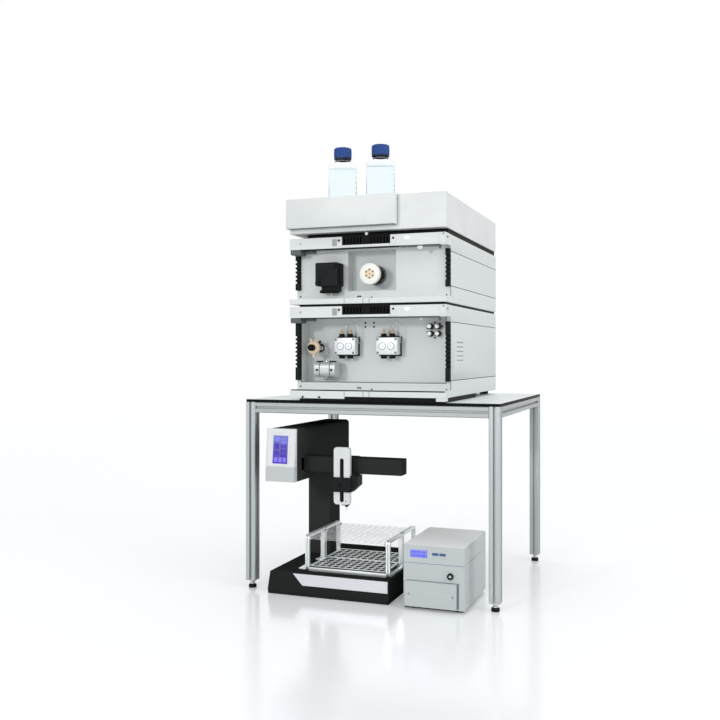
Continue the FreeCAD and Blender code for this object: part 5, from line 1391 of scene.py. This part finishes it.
def make_screen_tiles():
    """Plain tiles that stand for the buttons and readings of the touch screen."""
    corner, opposite = low("console_screen"), high("console_screen")
    wide, tall = opposite.x - corner.x, opposite.z - corner.z
    lean = (opposite.y - 1 - corner.y) / tall
    pale, deep = bmesh.new(), bmesh.new()
    layout = [
        (0.08, 0.80, 0.36, 0.13, pale), (0.54, 0.84, 0.36, 0.05, pale), (0.54, 0.72, 0.36, 0.08, pale),
        (0.10, 0.52, 0.30, 0.20, deep), (0.52, 0.56, 0.16, 0.12, deep), (0.74, 0.56, 0.16, 0.12, deep),
        (0.52, 0.40, 0.16, 0.12, deep), (0.74, 0.40, 0.16, 0.12, deep), (0.10, 0.30, 0.30, 0.14, deep),
        (0.52, 0.24, 0.38, 0.11, deep), (0.10, 0.06, 0.22, 0.16, pale), (0.40, 0.06, 0.22, 0.16, pale),
        (0.70, 0.06, 0.20, 0.16, pale)]
    for u, v, width, height, maker in layout:
        x0, z0 = corner.x + u * wide, corner.z + v * tall
        x1, z1 = x0 + width * wide, z0 + height * tall
        verts = []
        for depth in (-0.12, 0.3):
            for x, z in ((x0, z0), (x1, z0), (x1, z1), (x0, z1)):
                verts.append(maker.verts.new((x, corner.y + lean * (z - corner.z) + depth, z)))
        for quad in (
                (0, 1, 2, 3), (7, 6, 5, 4), (0, 4, 5, 1), (1, 5, 6, 2), (2, 6, 7, 3), (3, 7, 4, 0)):
            maker.faces.new([verts[i] for i in quad])
    fit(pale, "screen_pale_tiles", glowing("pale tile", shade(104, 100, 196), 0.6), "console_screen")
    fit(deep, "screen_deep_tiles", glowing("deep tile", shade(52, 34, 146), 0.6), "console_screen")


def make_clamp_details():
    """The moulded cross and the screws of the head's clamp, and the runner in the plate's slot."""
    corner, opposite = low("head_plate"), high("head_plate")
    carriage_front = low("head_carriage").y
    centre_x = (corner.x + opposite.x) / 2
    clamp_drop = 81.5
    clamp_z = opposite.z - clamp_drop
    cross = bmesh.new()
    for turn in (35, 125):
        along = around(turn)
        for sign in (-1, 1):
            lathe(
                cross, [(0, 0), (1.3, 0), (0.9, 6.5), (0, 7)],
                at(centre_x - 3, carriage_front + 0.4, clamp_z), along * sign, steps=16)
    lathe(
        cross, [(0, 0), (3.2, 0), (3.2, 1.4), (2.4, 2), (0, 2)],
        at(centre_x - 3, carriage_front + 1, clamp_z), FORWARD, steps=32)
    fit(cross, "clamp_cross", DEEP_BLACK, "head_carriage")
    places = [
        (at(opposite.x + 8, carriage_front + 3, clamp_z + 8), FORWARD, 1.6),
        (at(opposite.x + 8, carriage_front + 3, clamp_z - 2), FORWARD, 1.6)]
    fasteners("clamp_screws", CAP_SCREW, DEEP_BLACK, "head_carriage", places)
    sunk = corner.y + 0.28
    marks = [
        (at(opposite.x - 9, sunk, corner.z + 8), FORWARD, 1.6),
        (at(corner.x + 7, sunk, opposite.z - 8), FORWARD, 1.2)]
    fasteners("plate_screws", FLAT_SCREW, BLACK, "head_plate", marks)
    slot = bmesh.new()
    soft_box(
        slot, at(centre_x - 4.7, corner.y + 0.8, corner.z + 5.2),
        at(centre_x + 4.7, opposite.y - 0.4, opposite.z - 24.2), 2.9)
    soft_box(
        slot, at(centre_x - 1, corner.y + 1, corner.z - 1.8),
        at(opposite.x - 3, opposite.y - 1, corner.z + 0.4), 0.6)
    fit(slot, "slot_runner", DEEP_BLACK, "head_plate")


def make_base_shade_strips():
    """Dark strips under the edges of the collector's base, down to just above the floor: painted shade
    in the gap under the base.
    """
    base_low, base_high = low("collector_base"), high("collector_base")
    left, front = base_low.x + 1, base_low.y + 1
    right, back = base_high.x - 1, base_high.y - 1
    thick, gap = 2, 0.8
    shade_strips = bmesh.new()
    for x0, x1, y0, y1 in (
            (left, right, front, front + thick), (left, right, back - thick, back),
            (left, left + thick, front, back), (right - thick, right, front, back)):
        soft_box(shade_strips, at(x0, y0, gap), at(x1, y1, base_low.z + 0.5))
    fit(shade_strips, "base_skirt", BASE_BLACK, "collector_base")


def make_arm_buffers():
    """Two small pads under the far end of the arm."""
    pads = bmesh.new()
    corner, tip = low("collector_arm"), high("collector_arm")
    for x in (tip.x - 4, tip.x - 9):
        lathe(
            pads, [(0, -1), (1.6, -1), (1.6, 0.15), (0, 0.15)], at(x, corner.y + 8, corner.z), DOWN,
            steps=20)
    fit(pads, "arm_buffers", RUBBER, "collector_arm")


def make_nozzle():
    centre = middle("dispensing_nozzle")
    centre.z = high("dispensing_nozzle").z
    single(
        lathe, "nozzle_holder", DEEP_BLACK, "dispensing_nozzle",
        [(0, 0), (3.9, 0), (3.9, 3.4, True), (3, 5), (1.3, 5.4), (0, 5.4)], centre, DOWN,
        stands_for=True, smooth_below=50, steps=60, ribs=15, groove=0.4)
    single(
        lathe, "nozzle_tip", BRIGHT_STEEL, "dispensing_nozzle",
        [(0, 5), (1.1, 5), (1.0, 12), (0.5, 13.8), (0, 13.8)], centre, DOWN, stands_for=True, steps=24)


# Racks


def rack_bar_section():
    """The flat bar of the end frames, with a groove along its outer face."""
    wide, thick, groove, deep = RACK_BAR, 6, 2.6, 2.8
    points = [
        (-thick / 2, -wide / 2), (thick / 2, -wide / 2), (thick / 2, -groove / 2),
        (thick / 2 - deep, -groove / 2), (thick / 2 - deep, groove / 2), (thick / 2, groove / 2),
        (thick / 2, wide / 2), (-thick / 2, wide / 2)]
    curve = bpy.data.curves.new("rack_bar_section", "CURVE")
    spline = curve.splines.new("POLY")
    spline.points.add(len(points) - 1)
    for point, (x, y) in zip(spline.points, points):
        point.co = (x, y, 0, 1)
    spline.use_cyclic_u = True
    return shown("rack_bar_section", curve)


def plate_cell(pitch_x, pitch_y, thick, radius, steps=24):
    """One cell of a tube plate: a flat tile with a round hole through it."""
    maker = bmesh.new()
    rings = {}
    for name, z in (("low", 0.0), ("high", thick)):
        hole, edge = [], []
        for i in range(steps):
            angle = 2 * math.pi * (i + 0.5) / steps
            ray = Vector((math.cos(angle), math.sin(angle)))
            reach = min(pitch_x / 2 / abs(ray.x), pitch_y / 2 / abs(ray.y))
            hole.append(maker.verts.new((ray.x * radius, ray.y * radius, z)))
            edge.append(maker.verts.new((ray.x * reach, ray.y * reach, z)))
        corners = []
        for sx, sy in ((1, 1), (-1, 1), (-1, -1), (1, -1)):
            corners.append(maker.verts.new((sx * pitch_x / 2, sy * pitch_y / 2, z)))
        rings[name] = (hole, edge, corners)
    for name, flip in (("low", True), ("high", False)):
        hole, edge, corners = rings[name]
        for i in range(steps):
            j = (i + 1) % steps
            face = [hole[i], edge[i], edge[j], hole[j]]
            a, b = edge[i].co, edge[j].co
            if abs(a.x - b.x) > 1e-4 and abs(a.y - b.y) > 1e-4:
                quadrant = {
                    (True, True): 0, (False, True): 1, (False, False): 2,
                    (True, False): 3}[(a.x + b.x > 0, a.y + b.y > 0)]
                face.insert(2, corners[quadrant])
            maker.faces.new(list(reversed(face)) if flip else face)
    band(maker, rings["low"][0], rings["high"][0])
    mesh = bpy.data.meshes.new("plate_cell")
    maker.to_mesh(mesh)
    maker.free()
    return shown("plate_cell", mesh)


def make_tube_plate(node, box, index, finish, hole):
    """A clear plate with a grid of round holes inside a plain border."""
    columns, rows, margin = 11, 5, 5
    lowest, highest = box
    thick = highest.z - lowest.z
    span_x = highest.x - lowest.x - 2 * margin
    span_y = highest.y - lowest.y - 2 * margin
    pitch_x, pitch_y = span_x / columns, span_y / rows
    cell = plate_cell(pitch_x, pitch_y, thick, hole)
    centre = (lowest + highest) / 2
    centre.z = lowest.z
    values = {
        "Cell": cell, "Columns": columns, "Rows": rows, "Width": span_x - pitch_x,
        "Depth": span_y - pitch_y, "Centre": centre, "Finish": finish}
    grid = grown("%s_grid_%d" % (node, index), PLATE, values)
    bpy.data.objects.remove(cell)
    whole = bmesh.new()
    whole.from_mesh(grid.data)
    bpy.data.objects.remove(grid)
    border = [
        (lowest.x, lowest.y), (highest.x, lowest.y), (highest.x, highest.y), (lowest.x, highest.y)]
    inner = [
        (lowest.x + margin, lowest.y + margin), (highest.x - margin, lowest.y + margin),
        (highest.x - margin, highest.y - margin), (lowest.x + margin, highest.y - margin)]
    rings = [
        [whole.verts.new((x, y, z)) for x, y in outline] for outline in (border, inner)
        for z in (lowest.z, highest.z)]
    out_low, out_high, in_low, in_high = rings
    for first, second in ((out_low, out_high), (out_high, in_high), (in_low, out_low)):
        band(whole, first, second)
    bmesh.ops.remove_doubles(whole, verts=whole.verts, dist=WELD)
    return fit(whole, "%s_%d" % (node, index), finish, node, True)


def make_racks():
    """End loops, sills and ear of each rack, with its two tube plates."""
    section = rack_bar_section()
    sills, shade_floors, pegs, screws = bmesh.new(), bmesh.new(), bmesh.new(), []
    left = low("rack_lower_plates").x - RACK_BAR
    for index, (lowest, highest) in enumerate(islands("rack_frames")):
        z, right = lowest.z, highest.x
        centre = (lowest + highest) / 2
        for end, x in enumerate((left + RACK_BAR / 2, right - RACK_BAR / 2)):
            values = {
                "Loop width": highest.z - z - 6, "Loop height": highest.y - lowest.y - 6, "Corner": 5,
                "Bar": section, "Centre": at(x, centre.y, centre.z), "Turn": at(0, math.pi / 2, 0),
                "Finish": RACK}
            loop = grown("rack_loop_%d_%d" % (index, end), LOOP, values)
            shade_softly(loop.data, 40)
            fitted(loop, RACK, "rack_frames", True)
        # The floor under the plates is black: painted shade seen through the plate holes.
        soft_box(shade_floors, at(left + 0.5, lowest.y + 7, z), at(right - 0.5, highest.y - 7, z + 4), 0.4)
        soft_box(sills, at(lowest.x, lowest.y + 7, z), at(left + 3, lowest.y + 52, z + 3.6), 0.8)
        start, stop = left + RACK_BAR - 0.5, right - RACK_BAR + 0.5
        for y, lip in ((lowest.y, 0.4), (highest.y - 6, 4.8)):
            soft_box(sills, at(start, y, z), at(stop, y + 6, z + 9), 0.6)
            soft_box(sills, at(start, y + lip, z + 10), at(stop, y + lip + 0.8, z + 12.4))
            for x, direction in ((left + RACK_BAR, RIGHT), (right - RACK_BAR, LEFT)):
                for height in (10.5, 72):
                    lathe(
                        pegs, [(0, -1), (2.6, -1), (2.6, 3.6), (2.0, 4.4), (0, 4.4)],
                        at(x, y + 3, z + height), direction, steps=24)
        screws.append((at(lowest.x + 7, lowest.y + 30, z + 3.6), UP, 2.6))
    fit(sills, "rack_sills", RACK, "rack_frames", True)
    fit(shade_floors, "rack_floors", DEEP_BLACK, "rack_frames", True)
    fit(pegs, "rack_pegs", BRIGHT_STEEL, "rack_frames", True)
    fasteners("rack_screws", FLAT_SCREW, BRIGHT_STEEL, "rack_frames", screws)
    bpy.data.objects.remove(section)
    for node, finish, hole in (
            ("rack_lower_plates", PLATE_WITH_PAINTED_HOLE_SHADE, 6.6), ("rack_upper_plates", CLEAR, 5.8)):
        for index, box in enumerate(islands(node)):
            make_tube_plate(node, box, index, finish, hole)


# Detector


def make_detector():
    dressed("detector_case", DETECTOR, FINE_EDGE)
    dressed("detector_lid", LID_WITH_PAINTED_TOP_LIGHT, FINE_EDGE)
    dressed("detector_door", DETECTOR, FINE_EDGE)
    corner, opposite = low("detector_display"), high("detector_display")
    colours = [(0.0, shade(120, 126, 232)), (1.0, shade(136, 142, 240))]
    dressed("detector_display", lit_face("detector display", colours, corner.z, opposite.z, 0.95), 0)
    cells = bmesh.new()
    for u, v, width, height in (
            (0.08, 0.62, 0.10, 0.22), (0.22, 0.62, 0.10, 0.22), (0.40, 0.62, 0.14, 0.22),
            (0.62, 0.66, 0.26, 0.14), (0.08, 0.20, 0.18, 0.18), (0.34, 0.20, 0.10, 0.18),
            (0.50, 0.16, 0.06, 0.30), (0.66, 0.20, 0.22, 0.18)):
        wide, tall = opposite.x - corner.x, opposite.z - corner.z
        start = at(corner.x + u * wide, corner.y - 0.06, corner.z + v * tall)
        soft_box(cells, start, start + at(width * wide, 0.2, height * tall))
    fit(cells, "display_cells", glowing("display cell", shade(66, 74, 200), 0.6), "detector_display")
    for side in ("left", "right"):
        dressed("detector_key_" + side, KEY_BLUE, FINE_EDGE)
    centre = middle("detector_socket")
    face = at(centre.x, high("detector_socket").y, centre.z)
    single(
        lathe, "socket_ring", DEEP_BLACK, "detector_socket",
        [(4.3, 0), (6.6, 0), (6.6, 3.8), (6.0, 4.7), (5.2, 5), (4.3, 4.6)], face, FORWARD,
        stands_for=True, steps=48, closed=True)
    single(
        lathe, "socket_core", BRIGHT_STEEL, "detector_socket",
        [(0, 0), (2.3, 0), (2.3, 4.2), (1.7, 4.8), (0, 4.8)], face, FORWARD, stands_for=True, steps=32)
    door_low, door_high = low("detector_door"), high("detector_door")
    front = low("detector_case").y
    # A grey strip behind the door that shows past its top and right edges: painted shadow of the door
    # on the case.
    single(
        soft_box, "door_seal", DOOR_SHADE, "detector_socket",
        at(door_low.x + 1, front - 0.12, door_low.z + 1),
        at(door_high.x + 4.4, front + 0.3, door_high.z + 1.6))
    lid_low, lid_high = low("detector_lid"), high("detector_lid")
    single(
        soft_box, "lid_line", BLUE_LINE, "detector_lid",
        at(lid_low.x + 1, front - 0.1, lid_low.z - 1.0), at(lid_high.x - 1, front + 0.6, lid_low.z))
    # Black strips under the detector's front and sides: painted shade in the gap under the case.
    shade_strips = bmesh.new()
    case_low, case_high = low("detector_case"), high("detector_case")
    left, right, front_edge, gap = case_low.x + 1.5, case_high.x - 3, case_low.y + 3, 3
    for x0, x1, y1 in (
            (left, right, front_edge + 3), (right - 3, right, case_high.y - 3),
            (left, left + 2.5, case_high.y - 1.5)):
        soft_box(shade_strips, at(x0, front_edge, gap), at(x1, y1, case_low.z))
    fit(shade_strips, "detector_skirt", BLACK, "detector_socket")
    places = []
    for y in (lid_low.y + 16, lid_high.y - 16):
        places.append((at(lid_high.x, y, lid_low.z + 10), RIGHT, 1.8))
        places.append((at(lid_low.x, y, lid_low.z + 10), LEFT, 1.8))
    fasteners("lid_screws", FLAT_SCREW, BRIGHT_STEEL, "detector_lid", places)
    plugs = bmesh.new()
    for x in (door_low.x + 8, door_high.x - 8):
        oval(plugs, at(x, door_low.y + 0.42, (door_low.z + door_high.z) / 2), 7.4, 7.4, 0.4)
    fit(plugs, "door_plugs", PLUG, "detector_door")


# Floor, light and camera


def show_white(network, plain, white, output):
    """Let camera, mirror and glass rays see the white, and other rays the plain surface."""
    path = network.add("ShaderNodeLightPath")
    seen = path.outputs["Is Camera Ray"]
    for ray in ("Is Glossy Ray", "Is Transmission Ray"):
        either = network.add("ShaderNodeMath", operation="MAXIMUM")
        network.link(seen, either.inputs[0])
        network.link(path.outputs[ray], either.inputs[1])
        seen = either.outputs["Value"]
    mix = network.add("ShaderNodeMixShader")
    network.link(seen, mix.inputs["Fac"])
    network.link(plain, mix.inputs[1])
    network.link(white, mix.inputs[2])
    network.link(mix.outputs["Shader"], network.tree.nodes[output].inputs["Surface"])


def make_floor():
    """A pale glossy floor that fades to white and keeps soft shadows."""
    mesh = bpy.data.meshes.new("floor")
    reach = 14
    mesh.from_pydata(
        [(-reach, -reach, 0), (reach, -reach, 0), (reach, reach, 0), (-reach, reach, 0)], [],
        [(0, 1, 2, 3)])
    floor = shown("floor", mesh)
    finish = Finish("pale floor", shade(218, 221, 224), 0.17)
    finish.set("Specular IOR Level", 0.9)
    glow = finish.add("ShaderNodeEmission")
    glow.inputs["Color"].default_value = (1, 1, 1, 1)
    glow.inputs["Strength"].default_value = 0.2
    both = finish.add("ShaderNodeAddShader")
    finish.link(finish.shader.outputs["BSDF"], both.inputs[0])
    finish.link(glow.outputs["Emission"], both.inputs[1])
    show_white(finish, finish.shader.outputs["BSDF"], both.outputs["Shader"], "Material Output")
    mesh.materials.append(finish.material)


def make_world():
    world = bpy.data.worlds.new("studio")
    bpy.context.scene.world = world
    world.use_nodes = True
    studio = Network(world.node_tree)
    ambient = studio.tree.nodes["Background"]
    ambient.inputs["Color"].default_value = (0.99, 0.995, 1, 1)
    ambient.inputs["Strength"].default_value = 0.7
    seen = studio.add("ShaderNodeBackground")
    seen.inputs["Color"].default_value = (1, 1, 1, 1)
    seen.inputs["Strength"].default_value = 1.0
    show_white(studio, ambient.outputs["Background"], seen.outputs["Background"], "World Output")


def lamp(name, place, aim, size, watts):
    light = bpy.data.lights.new(name, "AREA")
    light.shape = "SQUARE"
    light.size = size
    light.energy = watts
    holder = shown(name, light)
    holder.location = place
    holder.rotation_euler = (Vector(aim) - Vector(place)).to_track_quat("-Z", "Y").to_euler()


def make_studio():
    make_floor()
    make_world()
    lamp("key light", (-0.8, -2.85, 1.1), (0, 0, 0.55), 0.3, 18)
    lamp("front fill", (0.9, -2.7, 0.8), (0, 0, 0.5), 1.6, 4)
    lamp("high fill", (0.3, -2.2, 2.6), (0, 0, 0.1), 1.6, 5)
    lamp("right fill", (2.7, -0.9, 1.7), (0, 0, 0.4), 2.0, 26)
    lamp("top light", (0.1, 0.2, 2.9), (0, 0, 0.4), 2.4, 13)


def make_camera():
    """The photograph's own view: level, from the right of the front."""
    forward = at(-0.3486, 0.9373, 0)
    lens = bpy.data.cameras.new("photograph")
    lens.sensor_width = 36
    lens.lens = 44.9
    lens.shift_y = -0.0067
    camera = shown("photograph", lens)
    camera.location = (0.669, -2.0755, 0.5327)
    camera.rotation_euler = forward.to_track_quat("-Z", "Y").to_euler()
    bpy.context.scene.camera = camera
    bpy.context.scene.view_settings.view_transform = "Standard"


make_bench()
for corner in ("front_left", "front_right", "back_left", "back_right"):
    make_levelling_foot(corner)
make_cases()
make_guides()
make_bar_details()
make_base_details()
make_seam_lines()
make_case_backs()
for head in ("pump_head_left", "pump_head_right"):
    make_pump_head(head)
make_pump_fittings()
make_purge_valve()
make_mixer()
make_inlet_fittings()
make_valve()
make_flow_cell()
for side in ("left", "right"):
    make_bottle(side)
make_collector()
make_racks()
make_detector()
for pattern in (CAP_SCREW, FLAT_SCREW):
    bpy.data.objects.remove(pattern)
make_studio()
make_camera()
